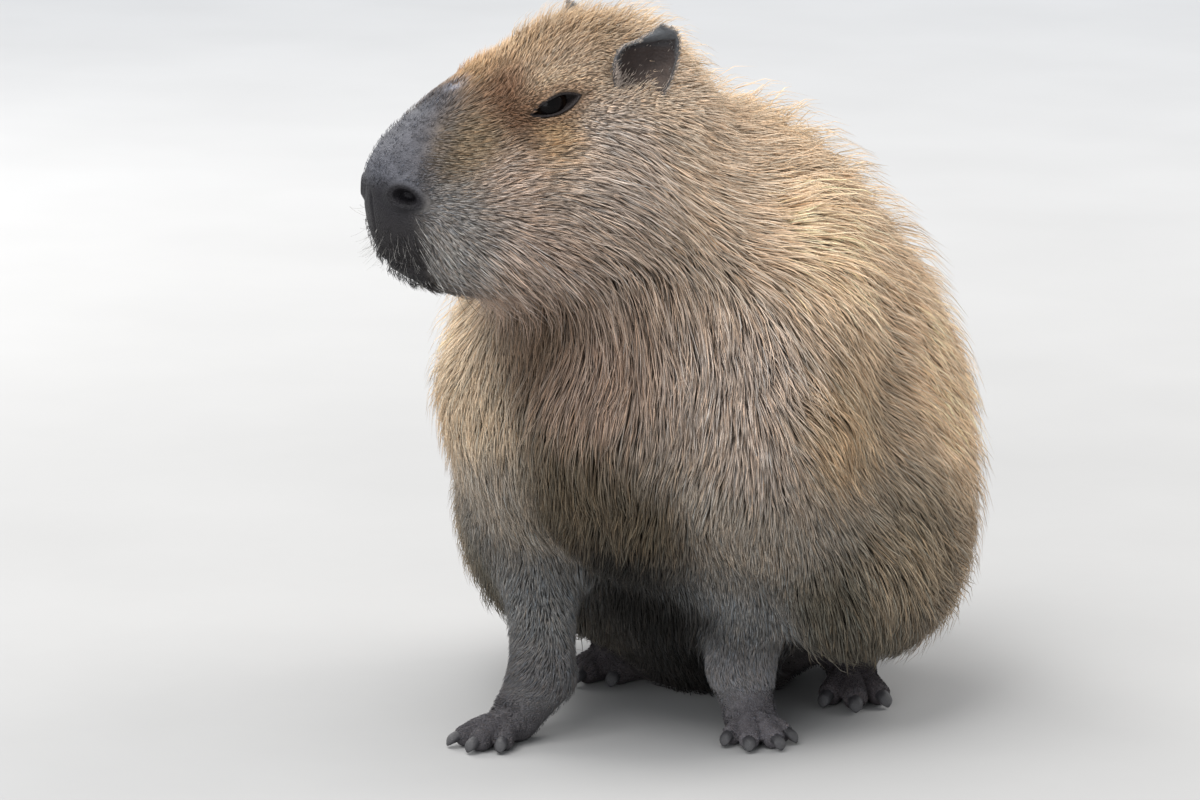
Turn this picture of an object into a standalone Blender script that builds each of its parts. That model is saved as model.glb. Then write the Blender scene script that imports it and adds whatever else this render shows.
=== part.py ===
"""A life-size capybara that sits on its haunches with its forelegs straight and its head turned to its right.

Metres, +Z up. The animal faces -Y and its left side is +X. The soles and the rump rest on z = 0.
Its flesh is one rounded form, built as a field of distances and parted into named pieces by thin cuts.
"""

import math

import bmesh
import bpy
import numpy as np
from mathutils import Matrix, Vector

FLOOR = 0.0


def vec(*values):
    return np.array(values, float)


def turned(tilt=0.0, turn=0.0, roll=0.0):
    """Rotation that rolls about Y, tips about X, then turns about Z, in degrees."""
    a, b, c = (math.radians(angle) for angle in (tilt, turn, roll))
    about_x = np.array([[1, 0, 0], [0, math.cos(a), -math.sin(a)], [0, math.sin(a), math.cos(a)]])
    about_z = np.array([[math.cos(b), -math.sin(b), 0], [math.sin(b), math.cos(b), 0], [0, 0, 1]])
    about_y = np.array([[math.cos(c), 0, math.sin(c)], [0, 1, 0], [-math.sin(c), 0, math.cos(c)]])
    return about_z @ about_x @ about_y


def ellipsoid(points, centre, half, tilt=0.0, turn=0.0, roll=0.0):
    """Distance to an ellipsoid, close enough near its surface."""
    local = (points - np.asarray(centre)) @ turned(tilt, turn, roll)
    scaled = local / np.asarray(half)
    near = np.sqrt((scaled * scaled).sum(-1))
    steep = np.sqrt(((scaled / np.asarray(half)) ** 2).sum(-1))
    return near * (near - 1.0) / np.maximum(steep, 1e-9)


def limb(points, start, end, start_radius, end_radius):
    """Distance to a rounded cone between two joints."""
    start, end = np.asarray(start), np.asarray(end)
    along = end - start
    share = np.clip((points - start) @ along / (along @ along), 0.0, 1.0)
    axis = start + share[..., None] * along
    radius = start_radius + (end_radius - start_radius) * share
    return np.sqrt(((points - axis) ** 2).sum(-1)) - radius


def join(a, b, width):
    """Smooth union of two distances."""
    share = np.clip(0.5 + 0.5 * (b - a) / width, 0.0, 1.0)
    return b + (a - b) * share - width * share * (1.0 - share)


def curve(s, stations, values):
    """Smooth curve through a few named stations (cubic with Catmull-Rom slopes)."""
    stations, values = np.asarray(stations, float), np.asarray(values, float)
    slopes = np.gradient(values, stations)
    s = np.clip(s, stations[0], stations[-1])
    i = np.clip(np.searchsorted(stations, s, side="right") - 1, 0, len(stations) - 2)
    gap = stations[i + 1] - stations[i]
    t = (s - stations[i]) / gap
    return (
        (1 + 2 * t) * (1 - t) ** 2 * values[i]
        + t * (1 - t) ** 2 * gap * slopes[i]
        + t * t * (3 - 2 * t) * values[i + 1]
        + t * t * (t - 1) * gap * slopes[i + 1]
    )


# Head: the nose tip's place, and how far the head turns to the animal's right
NOSE_TIP = vec(-0.1475, -0.2453, 0.511)
HEAD_TURN = 37.0
HEAD_LENGTH = 0.290
HEAD_FORWARD = vec(-math.sin(math.radians(HEAD_TURN)), -math.cos(math.radians(HEAD_TURN)), 0.0)
HEAD_LEFT = vec(-HEAD_FORWARD[1], HEAD_FORWARD[0], 0.0)
HEAD_UP = vec(0.0, 0.0, 1.0)

# Distances back from the nose tip, and the head's top, bottom and half width there
HEAD_STATIONS = (-0.03, 0.0, 0.02, 0.05, 0.09, 0.13, 0.17, 0.21, 0.25, 0.29)
HEAD_TOP = (0.032, 0.036, 0.042, 0.0505, 0.069, 0.084, 0.095, 0.101, 0.101, 0.096)
HEAD_BOTTOM = (-0.072, -0.078, -0.083, -0.089, -0.094, -0.096, -0.095, -0.086, -0.072, -0.05)
HEAD_HALF_WIDTH = (0.038, 0.040, 0.042, 0.045, 0.050, 0.058, 0.066, 0.069, 0.066, 0.058)
HEAD_SQUARENESS = 2.7
SNOUT_SETBACK = 0.014
SNOUT_LEVEL = -0.010
SNOUT_LEAN_ABOVE = 9.0
SNOUT_LEAN_BELOW = 3.6
SNOUT_CROWN = 8.0
SNOUT_ROUNDING = 0.026
OCCIPUT_ROUNDING = 0.09

# Eyes, nostrils, mouth and ears, as distances to the side, back from the nose tip, and up
EYE_PLACE = (0.0455, 0.151, 0.056)
EYE_RADIUS = 0.0160
LID_SLOPE = 20.0
LID_SLIT_HALF = (0.0185, 0.0062)
BROW_PLACE = (0.041, 0.152, 0.060)
BROW_HALF = (0.017, 0.032, 0.019)
NOSTRIL_PLACE = (0.0270, 0.034, -0.012)
NOSTRIL_HALF = (0.0098, 0.0100, 0.0062)
NOSTRIL_RIM_HALF = (0.014, 0.011, 0.012)
MOUTH_LEVEL = -0.070
MOUTH_BACK = 0.052
MOUTH_REACH = (0.040, 0.036)
EAR_BASE = (0.0680, 0.2220, 0.0540)
EAR_TIP = (0.0740, 0.2290, 0.1100)
EAR_FACING = 72.0
EAR_HOLLOW_PLACE = (0.075, 0.2135, 0.083)
EAR_HOLLOW_HALF = (0.028, 0.026, 0.022)


def head_place(left, back, up):
    """A point given in the head's own directions: to its left, back from the nose tip, and up."""
    return NOSE_TIP + left * HEAD_LEFT - back * HEAD_FORWARD + up * HEAD_UP


def head_field(points):
    """Distance to the skin of the head, with its brows and the rims of its nostrils."""
    offset = points - NOSE_TIP
    left, back, up = offset @ HEAD_LEFT, -(offset @ HEAD_FORWARD), offset @ HEAD_UP
    top = curve(back, HEAD_STATIONS, HEAD_TOP)
    bottom = curve(back, HEAD_STATIONS, HEAD_BOTTOM)
    width = curve(back, HEAD_STATIONS, HEAD_HALF_WIDTH)
    height = (top - bottom) / 2
    middle = (top + bottom) / 2
    # narrower above the cheeks, so that the brow and the bridge are rounder than the jaw
    across = np.abs(left) / (width * (1.0 - 0.18 * np.clip((up - middle) / height, -1.0, 1.0)))
    level = np.abs(up - middle) / height
    n = HEAD_SQUARENESS
    gauge = (across**n + level**n) ** (1.0 / n)
    tube = (gauge - 1.0) * np.minimum(width, height)
    lean = np.where(up > SNOUT_LEVEL, SNOUT_LEAN_ABOVE, SNOUT_LEAN_BELOW)
    front = SNOUT_SETBACK - back + lean * (up - SNOUT_LEVEL) ** 2 + SNOUT_CROWN * left**2
    head = -join(-tube, -front, SNOUT_ROUNDING)
    head = -join(-head, -(back - HEAD_LENGTH), OCCIPUT_ROUNDING)
    for side in SIDES:
        brow = head_place(side * BROW_PLACE[0], *BROW_PLACE[1:])
        head = join(head, ellipsoid(points, brow, BROW_HALF, tilt=LID_SLOPE, turn=-HEAD_TURN), 0.016)
        nostril = head_place(side * NOSTRIL_PLACE[0], *NOSTRIL_PLACE[1:])
        turn = side * 45 - HEAD_TURN
        head = join(head, ellipsoid(points, nostril, NOSTRIL_RIM_HALF, turn=turn), 0.010)
    return head


SIDES = (1, -1)

# Trunk: where each rounded mass sits, its half sizes and how far it tips forward
TRUNK = ((0, 0.204, 0.232), (0.186, 0.184, 0.186), -20)
RIBS = ((0, 0.094, 0.345), (0.148, 0.152, 0.166), -35)
CHEST = ((0, 0.004, 0.290), (0.108, 0.105, 0.120), 0)
RUMP = ((-0.030, 0.218, 0.118), (0.135, 0.120, 0.130), 0)
THIGH = ((0.136, 0.140, 0.162), (0.070, 0.140, 0.098), -20)
SHOULDER = ((0.100, 0.016, 0.295), (0.060, 0.085, 0.125), 0)
NECK_START = (0, 0.055, 0.400)
NECK_END = (0, 0.222, 0.014)
NECK_RADII = (0.112, 0.083)

# Legs: the shoulder and elbow joints, and where each wrist and heel stands
ARM_TOP = (0.105, 0.0, 0.290)
ELBOWS = {1: (0.080, 0.050, 0.185), -1: (-0.122, 0.055, 0.185)}
FORE_FEET = {1: (0.056, 0.076), -1: (-0.088, -0.016)}
FORE_TURN = {1: 36.0, -1: -26.0}
FORE_TOES = ((-38, 0.034), (-13, 0.047), (12, 0.047), (36, 0.036))
HIND_HEELS = {1: (0.056, 0.322), -1: (-0.062, 0.314)}
HIND_TURN = {1: 24.0, -1: -20.0}
HIND_TOES = ((-24, 0.050), (0, 0.062), (24, 0.050))
HIND_LENGTH = 0.110
PALM_LENGTH = 0.030


def heading(angle):
    """Level direction at that many degrees from straight ahead towards the animal's left."""
    a = math.radians(angle)
    return vec(math.sin(a), -math.cos(a), 0.0)


def elbow_of(side):
    return vec(*ELBOWS[side])


def wrist_of(side):
    return vec(*FORE_FEET[side], 0.060)


def palm_of(side):
    return vec(*FORE_FEET[side], 0.020) + PALM_LENGTH * heading(FORE_TURN[side])


def ball_of(side):
    return vec(*HIND_HEELS[side], 0.018) + HIND_LENGTH * heading(HIND_TURN[side])


def toes_of(side, fore):
    """Root, tip and direction of each toe of a foot."""
    root, turn, toes, level = (
        (palm_of(side), FORE_TURN[side], FORE_TOES, 0.009)
        if fore
        else (ball_of(side), HIND_TURN[side], HIND_TOES, 0.010)
    )
    found = []
    for spread, length in toes:
        way = heading(turn + spread)
        tip = root + length * way
        tip[2] = level
        found.append((root, tip, way))
    return found


def fore_foot(p, side):
    foot = limb(p, vec(*FORE_FEET[side], 0.045), palm_of(side), 0.0235, 0.021)
    for root, tip, _ in toes_of(side, True):
        foot = join(foot, limb(p, root, tip, 0.015, 0.009), 0.008)
    return foot


def hind_foot(p, side):
    foot = limb(p, vec(*HIND_HEELS[side], 0.020), ball_of(side), 0.023, 0.019)
    for root, tip, _ in toes_of(side, False):
        foot = join(foot, limb(p, root, tip, 0.015, 0.010), 0.008)
    return foot


def fore_leg(p, side):
    elbow = elbow_of(side)
    upper = limb(p, (side * ARM_TOP[0], ARM_TOP[1], ARM_TOP[2]), elbow, 0.060, 0.038)
    leg = join(upper, limb(p, elbow, wrist_of(side), 0.032, 0.0225), 0.03)
    return join(leg, fore_foot(p, side), 0.020)


def body_field(p):
    """Distance to the skin of the whole animal, less its ears, eyes and claws."""
    centre, half, tilt = TRUNK
    trunk = ellipsoid(p, centre, half, tilt)
    for (centre, half, tilt), width in ((RIBS, 0.10), (CHEST, 0.08), (RUMP, 0.06)):
        trunk = join(trunk, ellipsoid(p, centre, half, tilt), width)
    for side in SIDES:
        for (centre, half, tilt), width in ((THIGH, 0.04), (SHOULDER, 0.05)):
            place = vec(side * centre[0], *centre[1:])
            trunk = join(trunk, ellipsoid(p, place, half, tilt), width)
    trunk = join(trunk, limb(p, NECK_START, head_place(*NECK_END), *NECK_RADII), 0.08)
    trunk = join(trunk, head_field(p), 0.035)
    for side in SIDES:
        hollow = head_place(side * EAR_HOLLOW_PLACE[0], *EAR_HOLLOW_PLACE[1:])
        trunk = -join(-trunk, ellipsoid(p, hollow, EAR_HOLLOW_HALF, turn=-HEAD_TURN), 0.012)
        trunk = join(trunk, fore_leg(p, side), 0.030)
        trunk = join(trunk, hind_foot(p, side), 0.022)
    return trunk


def surface(field, low, high, step):
    """Closed quad mesh of the field's zero surface inside a box, by surface nets."""
    axes = [np.arange(a, b + step, step) for a, b in zip(low, high)]
    value = sample(field, axes, step)
    grid = np.stack(np.meshgrid(*axes, indexing="ij"), -1)
    inside = value < 0
    shape = np.array(value.shape) - 1
    total = np.zeros((*shape, 3))
    count = np.zeros(shape)
    faces = []
    for axis in range(3):
        ahead = [slice(None)] * 3
        behind = [slice(None)] * 3
        ahead[axis], behind[axis] = slice(1, None), slice(None, -1)
        a, b = value[tuple(behind)], value[tuple(ahead)]
        crossed = inside[tuple(behind)] != inside[tuple(ahead)]
        share = np.where(crossed, a / np.where(crossed, a - b, 1.0), 0.0)
        where = grid[tuple(behind)].copy()
        where[..., axis] += share * step
        where[~crossed] = 0.0
        u, v = [k for k in range(3) if k != axis]
        for du in (0, 1):
            for dv in (0, 1):
                part = [slice(None)] * 3
                part[u] = slice(du, du + shape[u])
                part[v] = slice(dv, dv + shape[v])
                total += where[tuple(part)]
                count += crossed[tuple(part)]
    used = count > 0
    index = np.full(tuple(shape), -1)
    index[used] = np.arange(used.sum())
    points = total[used] / count[used][:, None]
    for axis in range(3):
        ahead = [slice(None)] * 3
        behind = [slice(None)] * 3
        ahead[axis], behind[axis] = slice(1, None), slice(None, -1)
        u, v = (axis + 1) % 3, (axis + 2) % 3
        crossed = inside[tuple(behind)] != inside[tuple(ahead)]
        at = np.argwhere(crossed)
        at = at[(at[:, u] > 0) & (at[:, v] > 0) & (at[:, u] < shape[u]) & (at[:, v] < shape[v])]
        corners = []
        for du, dv in ((-1, -1), (0, -1), (0, 0), (-1, 0)):
            cell = at.copy()
            cell[:, u] += du
            cell[:, v] += dv
            corners.append(index[cell[:, 0], cell[:, 1], cell[:, 2]])
        quads = np.stack(corners, -1)
        outward = inside[tuple(behind)][tuple(at.T)]
        quads[~outward] = quads[~outward][:, ::-1]
        faces.append(quads)
    return points, np.concatenate(faces)


BLOCK = 4


def sample(field, axes, step):
    """Field values on a grid: exact near the surface, and one value for each block elsewhere."""
    sizes = [len(axis) for axis in axes]
    middles = [axis[0] + step * (np.arange(0, size, BLOCK) + (BLOCK - 1) / 2) for axis, size in zip(axes, sizes)]
    coarse = field(np.stack(np.meshgrid(*middles, indexing="ij"), -1))
    value = coarse
    for k in range(3):
        value = np.repeat(value, BLOCK, axis=k)
    value = value[: sizes[0], : sizes[1], : sizes[2]].copy()
    near = np.abs(value) < BLOCK * step * 1.8
    at = np.argwhere(near)
    points = np.stack([axes[k][at[:, k]] for k in range(3)], -1)
    value[near] = field(points)
    return value


def settle(field, points, rounds=3, reach=0.002):
    """Moves points onto the field's zero surface."""
    for _ in range(rounds):
        slope = gradient(field, points)
        move = -field(points)[:, None] * slope / np.maximum((slope**2).sum(-1), 1e-6)[:, None]
        size = np.linalg.norm(move, axis=-1, keepdims=True)
        points = points + move * np.minimum(1.0, reach / np.maximum(size, 1e-12))
    return points


def gradient(field, points):
    tiny = 1e-4
    return np.stack([(field(points + tiny * e) - field(points - tiny * e)) / (2 * tiny) for e in np.eye(3)], -1)


def unit(vectors):
    return vectors / np.maximum(np.linalg.norm(vectors, axis=-1, keepdims=True), 1e-12)


def coat_guides():
    """Places on the body, the way the hair lies there, and how far its tips stand off the skin."""
    back, up, down = -HEAD_FORWARD, HEAD_UP, -HEAD_UP
    guides = [
        (head_place(0, 0.015, 0.0), up + 0.3 * back, 0.002),
        (head_place(0, 0.050, 0.055), back, 0.003),
        (head_place(0, 0.085, 0.066), back, 0.003),
        (head_place(0, 0.112, 0.080), back + 0.3 * up, 0.007),
        (head_place(0, 0.190, 0.106), back + 0.2 * up, 0.011),
        (head_place(0, 0.270, 0.085), back + 0.3 * down, 0.016),
        (head_place(0, 0.050, -0.090), back + 0.4 * down, 0.006),
        (head_place(0, 0.120, -0.100), back + 0.5 * down, 0.012),
        (vec(0.03, -0.105, 0.38), vec(0.25, 0, -1), 0.020),
        (vec(-0.03, -0.115, 0.31), vec(-0.1, 0, -1), 0.021),
        (vec(0, -0.070, 0.18), vec(0, 0.3, -1), 0.018),
        (vec(0, 0.060, 0.10), vec(0, 0.5, -0.6), 0.012),
        (vec(0, 0.170, 0.03), vec(0, 1, -0.2), 0.010),
        (vec(0, 0.130, 0.51), vec(0, 0.8, 0.1), 0.023),
        (vec(0, 0.230, 0.42), vec(0, 0.8, -0.5), 0.024),
        (vec(0, 0.340, 0.30), vec(0, 0.5, -0.9), 0.025),
        (vec(0, 0.370, 0.15), vec(0, 0.1, -1), 0.023),
    ]
    for side in SIDES:
        out = side * HEAD_LEFT
        guides += [
            (head_place(side * 0.040, 0.030, -0.005), back, 0.002),
            (head_place(side * 0.040, 0.040, -0.060), back + 1.2 * down, 0.004),
            (head_place(side * 0.046, 0.075, 0.020), back + 0.1 * down, 0.005),
            (head_place(side * 0.054, 0.150, 0.056), back, 0.003),
            (head_place(side * 0.060, 0.135, -0.010), back + 0.25 * down, 0.008),
            (head_place(side * 0.050, 0.120, -0.075), back + 1.0 * down, 0.010),
            (head_place(side * 0.068, 0.205, 0.000), back + 0.6 * down + 0.2 * out, 0.014),
            (head_place(side * 0.050, 0.250, 0.090), back + 0.2 * down, 0.009),
            (head_place(side * 0.058, 0.212, 0.076), back + 0.2 * down, 0.004),
            (vec(side * 0.115, 0.050, 0.44), vec(side * 0.1, 0.7, -0.5), 0.022),
            (vec(side * 0.150, 0.000, 0.33), vec(0, 0.35, -1), 0.020),
            (vec(side * 0.108, -0.065, 0.26), vec(0, 0.1, -1), 0.013),
            (vec(side * 0.100, -0.030, 0.21), vec(0, 0.1, -1), 0.009),
            (vec(side * 0.180, 0.120, 0.33), vec(0, 0.8, -0.7), 0.023),
            (vec(side * 0.190, 0.250, 0.26), vec(0, 0.6, -0.9), 0.024),
            (vec(side * 0.205, 0.130, 0.15), vec(0, 0.6, -1), 0.022),
            (vec(side * 0.130, 0.300, 0.12), vec(0, 0.3, -1), 0.022),
            (vec(side * 0.150, 0.070, 0.09), vec(0, 0.6, -1), 0.018),
            (elbow_of(side) + vec(0, -0.03, -0.02), vec(0, 0, -1), 0.008),
            (wrist_of(side) + 0.05 * up, down, 0.006),
            (wrist_of(side), down, 0.004),
            (palm_of(side), heading(FORE_TURN[side]), 0.002),
            (palm_of(side) + 0.04 * heading(FORE_TURN[side]), heading(FORE_TURN[side]), 0.001),
            (ball_of(side), heading(HIND_TURN[side]), 0.002),
            (ball_of(side) + 0.04 * heading(HIND_TURN[side]), heading(HIND_TURN[side]), 0.001),
            (vec(*HIND_HEELS[side], 0.02), heading(HIND_TURN[side]), 0.003),
        ]
    places = np.array([guide[0] for guide in guides])
    ways = unit(np.array([guide[1] for guide in guides]))
    depths = np.array([guide[2] for guide in guides])
    return places, ways, depths


GUIDES = coat_guides()
GUIDE_BLUR = 0.015
CORE_LIMIT = 0.0105


def coat_at(points):
    """How the coat lies and how deep it is near some points."""
    places, ways, depths = GUIDES
    flat = points.reshape(-1, 3)
    square = ((flat[:, None] - places[None]) ** 2).sum(-1)
    weight = 1.0 / (square + GUIDE_BLUR**2) ** 2
    weight /= weight.sum(-1, keepdims=True)
    return (weight @ ways).reshape(points.shape), (weight @ depths).reshape(points.shape[:-1])


def core_field(points):
    """Distance to the solid form: the skin grown by short fur, or by half of the long coat."""
    depth = coat_at(points)[1]
    return body_field(points) - np.minimum(depth, CORE_LIMIT)


def mesh_object(name, points, faces):
    mesh = bpy.data.meshes.new(name)
    mesh.from_pydata([tuple(map(float, point)) for point in points], [], [tuple(map(int, face)) for face in faces])
    mesh.update()
    item = bpy.data.objects.new(name, mesh)
    bpy.context.scene.collection.objects.link(item)
    return item


def remove(item):
    mesh = item.data
    bpy.data.objects.remove(item)
    bpy.data.meshes.remove(mesh)


def apply(item):
    """Makes the modifiers' result the object's own mesh."""
    graph = bpy.context.evaluated_depsgraph_get()
    mesh = bpy.data.meshes.new_from_object(item.evaluated_get(graph))
    item.modifiers.clear()
    old = item.data
    item.data = mesh
    bpy.data.meshes.remove(old)


def combine(item, other, operation):
    """Applies one Boolean of a closed mesh, or of a collection of them, to an object."""
    modifier = item.modifiers.new("combine", "BOOLEAN")
    modifier.operation = operation
    modifier.solver = "MANIFOLD"
    if isinstance(other, bpy.types.Collection):
        modifier.operand_type = "COLLECTION"
        modifier.collection = other
    else:
        modifier.object = other
    apply(item)


def copy_of(item, name):
    twin = bpy.data.objects.new(name, item.data.copy())
    bpy.context.scene.collection.objects.link(twin)
    return twin


def keep_largest(item):
    """Leaves only the closed surface that has the largest area."""
    shape = bmesh.new()
    shape.from_mesh(item.data)
    shape.faces.ensure_lookup_table()
    left = set(shape.faces)
    groups = []
    while left:
        stack = [left.pop()]
        group = list(stack)
        while stack:
            for edge in stack.pop().edges:
                for face in edge.link_faces:
                    if face in left:
                        left.remove(face)
                        stack.append(face)
                        group.append(face)
        groups.append(group)
    groups.sort(key=lambda group: sum(face.calc_area() for face in group))
    for group in groups[:-1]:
        bmesh.ops.delete(shape, geom=group, context="FACES")
    loose = [vert for vert in shape.verts if not vert.link_faces]
    bmesh.ops.delete(shape, geom=loose, context="VERTS")
    shape.to_mesh(item.data)
    shape.free()


def finish(item, colour, rough, crease=50.0):
    """Smooth shading with creases, and one plain material."""
    mesh = item.data
    mesh.materials.clear()
    material = bpy.data.materials.new(item.name)
    material.use_nodes = True
    shader = material.node_tree.nodes["Principled BSDF"]
    shader.inputs["Base Color"].default_value = (*colour, 1.0)
    shader.inputs["Roughness"].default_value = rough
    mesh.materials.append(material)
    for face in mesh.polygons:
        face.material_index = 0
        face.use_smooth = True
    mesh.set_sharp_from_angle(angle=math.radians(crease))


# Cutters, all convex

GAP = 0.0003
SHELL_GAP = 0.0005


def block(centre, low, high, grow=0.0, tilt=0.0, turn=0.0, taper=1.0):
    """Box between two corners in its own turned directions; taper widens its forward (-Y) end."""
    spin = turned(tilt, turn)
    low, high = vec(*low) - grow, vec(*high) + grow
    points = []
    for x in (low[0], high[0]):
        for y in (low[1], high[1]):
            for z in (low[2], high[2]):
                wide = taper if y < 0 else 1.0
                points.append(np.asarray(centre) + spin @ vec(x * wide, y, z))
    faces = ((0, 1, 3, 2), (4, 6, 7, 5), (0, 4, 5, 1), (2, 3, 7, 6), (0, 2, 6, 4), (1, 5, 7, 3))
    return mesh_object("cut", points, faces)


def ball(name, centre, half, tilt=0.0, turn=0.0, around=20, rings=12):
    """Ellipsoid made of rings, with a point at each end."""
    spin = turned(tilt, turn)
    points = [vec(0, 0, 1)]
    for ring in range(1, rings):
        dip = math.pi * ring / rings
        for k in range(around):
            a = 2 * math.pi * k / around
            points.append(vec(math.sin(dip) * math.cos(a), math.sin(dip) * math.sin(a), math.cos(dip)))
    points.append(vec(0, 0, -1))
    faces = [(0, 1 + k, 1 + (k + 1) % around) for k in range(around)]
    for ring in range(rings - 2):
        a, b = 1 + ring * around, 1 + (ring + 1) * around
        faces += [(a + k, b + k, b + (k + 1) % around, a + (k + 1) % around) for k in range(around)]
    last, end = 1 + (rings - 2) * around, len(points) - 1
    faces += [(last + k, end, last + (k + 1) % around) for k in range(around)]
    points = [np.asarray(centre) + spin @ (point * np.asarray(half)) for point in points]
    return mesh_object(name, points, faces)


def tube(stations, grow=0.0, around=16):
    """Closed round tube through (centre, radius) stations, each ring square to the whole."""
    first, last = np.asarray(stations[0][0]), np.asarray(stations[-1][0])
    along = unit(last - first)
    stations = [(centre, radius + grow) for centre, radius in stations]
    stations[0] = (first - grow * along, stations[0][1])
    stations[-1] = (last + grow * along, stations[-1][1])
    side = unit(np.cross(along, vec(0, 1, 0)))
    over = np.cross(along, side)
    points = []
    for centre, radius in stations:
        for k in range(around):
            a = 2 * math.pi * k / around
            points.append(np.asarray(centre) + radius * (math.cos(a) * side + math.sin(a) * over))
    faces = [tuple(range(around))[::-1]]
    for ring in range(len(stations) - 1):
        a, b = ring * around, (ring + 1) * around
        faces += [(a + k, a + (k + 1) % around, b + (k + 1) % around, b + k) for k in range(around)]
    faces.append(tuple(range(len(points) - around, len(points))))
    return mesh_object("cut", points, faces)


# The whole solid form, its thinning, and the locks of its long coat

BODY_LOW = (-0.300, -0.340, -0.040)
BODY_HIGH = (0.300, 0.480, 0.700)
NET_STEP = 0.0045
CORE_SHARE = 0.0238


def solid_core():
    points, quads = surface(core_field, BODY_LOW, BODY_HIGH, NET_STEP)
    points = settle(core_field, points)
    core = mesh_object("core", points, quads)
    thin = core.modifiers.new("thin", "DECIMATE")
    thin.ratio = CORE_SHARE
    apply(core)
    return core


# Locks of the long coat: flat tapered tufts that lie over one another along the body

LOCK_SPACING = 0.063
LOCK_LEAST_DEPTH = 0.0155
LOCK_LENGTH_PER_DEPTH = 4.3
LOCK_HALF_WIDTH = 0.029
LOCK_RISE = (-0.80, 0.10, 0.50, 0.82, 1.00)
LOCK_WIDTHS = (0.60, 1.00, 0.92, 0.58)
LOCK_RIDGE = (0.0040, 0.0050, 0.0042, 0.0026)
LOCK_KEEL = (0.0050, 0.0085, 0.0070, 0.0036)
LOCK_LOWEST = 0.012


def lock_roots(dice):
    """Evenly spread places on the core where the coat is long."""
    points, _ = surface(core_field, BODY_LOW, BODY_HIGH, 0.012)
    points = settle(core_field, points)
    depth = coat_at(points)[1]
    slope = unit(gradient(core_field, points))
    fit = (depth > LOCK_LEAST_DEPTH) & (points[:, 2] > 0.05) & (slope[:, 2] > -0.75)
    points = points[fit]
    order = dice.permutation(len(points))
    chosen = []
    for i in order:
        if all(np.sum((points[i] - other) ** 2) > LOCK_SPACING**2 for other in chosen):
            chosen.append(points[i])
    return np.array(chosen)


def lie_on_body(points, yaw):
    """Hair direction along the skin, turned a little about the normal, and the normal."""
    normal = unit(gradient(body_field, points))
    way = coat_at(points)[0]
    way = unit(way - (way * normal).sum(-1, keepdims=True) * normal)
    side = np.cross(normal, way)
    way = way * np.cos(yaw)[:, None] + side * np.sin(yaw)[:, None]
    return way, normal


def locks():
    """One closed mesh for each lock."""
    dice = np.random.default_rng(11)
    roots = lock_roots(dice)
    count = len(roots)
    depth = coat_at(roots)[1] * dice.uniform(0.88, 1.08, count)
    core = np.minimum(depth, CORE_LIMIT)
    length = depth * LOCK_LENGTH_PER_DEPTH * dice.uniform(0.85, 1.15, count)
    half = LOCK_HALF_WIDTH * dice.uniform(0.85, 1.12, count)
    yaw = np.radians(dice.uniform(-14, 14, count))
    spine, frames = [], []
    place = roots
    last = len(LOCK_RISE) - 1
    for k, rise in enumerate(LOCK_RISE):
        way, normal = lie_on_body(place, yaw)
        if k:
            place = place + way * (length / last)[:, None]
        goal = core + (depth - core) * rise
        for _ in range(2):
            normal = unit(gradient(body_field, place))
            place = place + (goal - body_field(place))[:, None] * normal
        place[:, 2] = np.maximum(place[:, 2], LOCK_LOWEST)
        spine.append(place)
        frames.append(lie_on_body(place, yaw))
    made = []
    for i in range(count):
        points = []
        for k in range(last):
            way, normal = frames[k][0][i], frames[k][1][i]
            side = np.cross(normal, way)
            middle = spine[k][i]
            wide = half[i] * LOCK_WIDTHS[k]
            sag = 3.0 * wide**2
            points += [
                middle - wide * side - sag * normal,
                middle + LOCK_RIDGE[k] * normal,
                middle + wide * side - sag * normal,
                middle - LOCK_KEEL[k] * normal,
            ]
        points.append(spine[last][i])
        faces = [(0, 1, 2, 3)]
        for ring in range(last - 1):
            a, b = 4 * ring, 4 * ring + 4
            faces += [(a + m, b + m, b + (m + 1) % 4, a + (m + 1) % 4) for m in range(4)]
        end = 4 * (last - 1)
        faces += [(end + m, 4 * last, end + (m + 1) % 4) for m in range(4)]
        made.append(mesh_object("lock", points, faces))
    return made


def grown(item, distance, name):
    """Copy with every corner moved out along its normal."""
    twin = copy_of(item, name)
    normals = [vert.normal.copy() for vert in twin.data.vertices]
    for vert, normal in zip(twin.data.vertices, normals):
        vert.co += distance * normal
    return twin


# Nodes, in the order in which they are cut from the whole

FUR = (0.36, 0.235, 0.125)
FUR_GREY = (0.235, 0.175, 0.125)
FUR_DARK = (0.13, 0.098, 0.078)
FOOT_SKIN = (0.062, 0.048, 0.048)
EAR_SKIN = (0.075, 0.060, 0.055)
EYE_DARK = (0.012, 0.010, 0.010)
CLAW_HORN = (0.085, 0.088, 0.100)


def head_cutter(grow):
    centre = head_place(0, 0.2075, -0.005)
    return block(centre, (-0.2, -0.42, -0.16), (0.2, 0.0, 0.26), grow, tilt=-26.6, turn=-HEAD_TURN)


def neck_cutter(grow):
    return block((0, 0.030, 0.420), (-0.3, -0.4, -0.24), (0.3, 0.0, 0.3), grow, tilt=-43.0, turn=-6.0)


def forefoot_cutter(side, grow):
    place = vec(*FORE_FEET[side], 0.0)
    return block(place, (-0.044, -0.12, -0.05), (0.044, 0.036, 0.046), grow, turn=FORE_TURN[side], taper=1.35)


def foreleg_cutter(side, grow):
    wrist, elbow = wrist_of(side), elbow_of(side) + vec(0, -0.012, 0.022)
    low = wrist - 0.08 * unit(elbow - wrist)
    return tube(((low, 0.040), (wrist, 0.046), ((wrist + elbow) / 2, 0.056), (elbow, 0.068)), grow)


def hindfoot_cutter(side, grow):
    place = vec(*HIND_HEELS[side], 0.0)
    return block(place, (-0.036, -0.235, -0.05), (0.036, 0.034, 0.046), grow, turn=HIND_TURN[side], taper=1.6)


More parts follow.
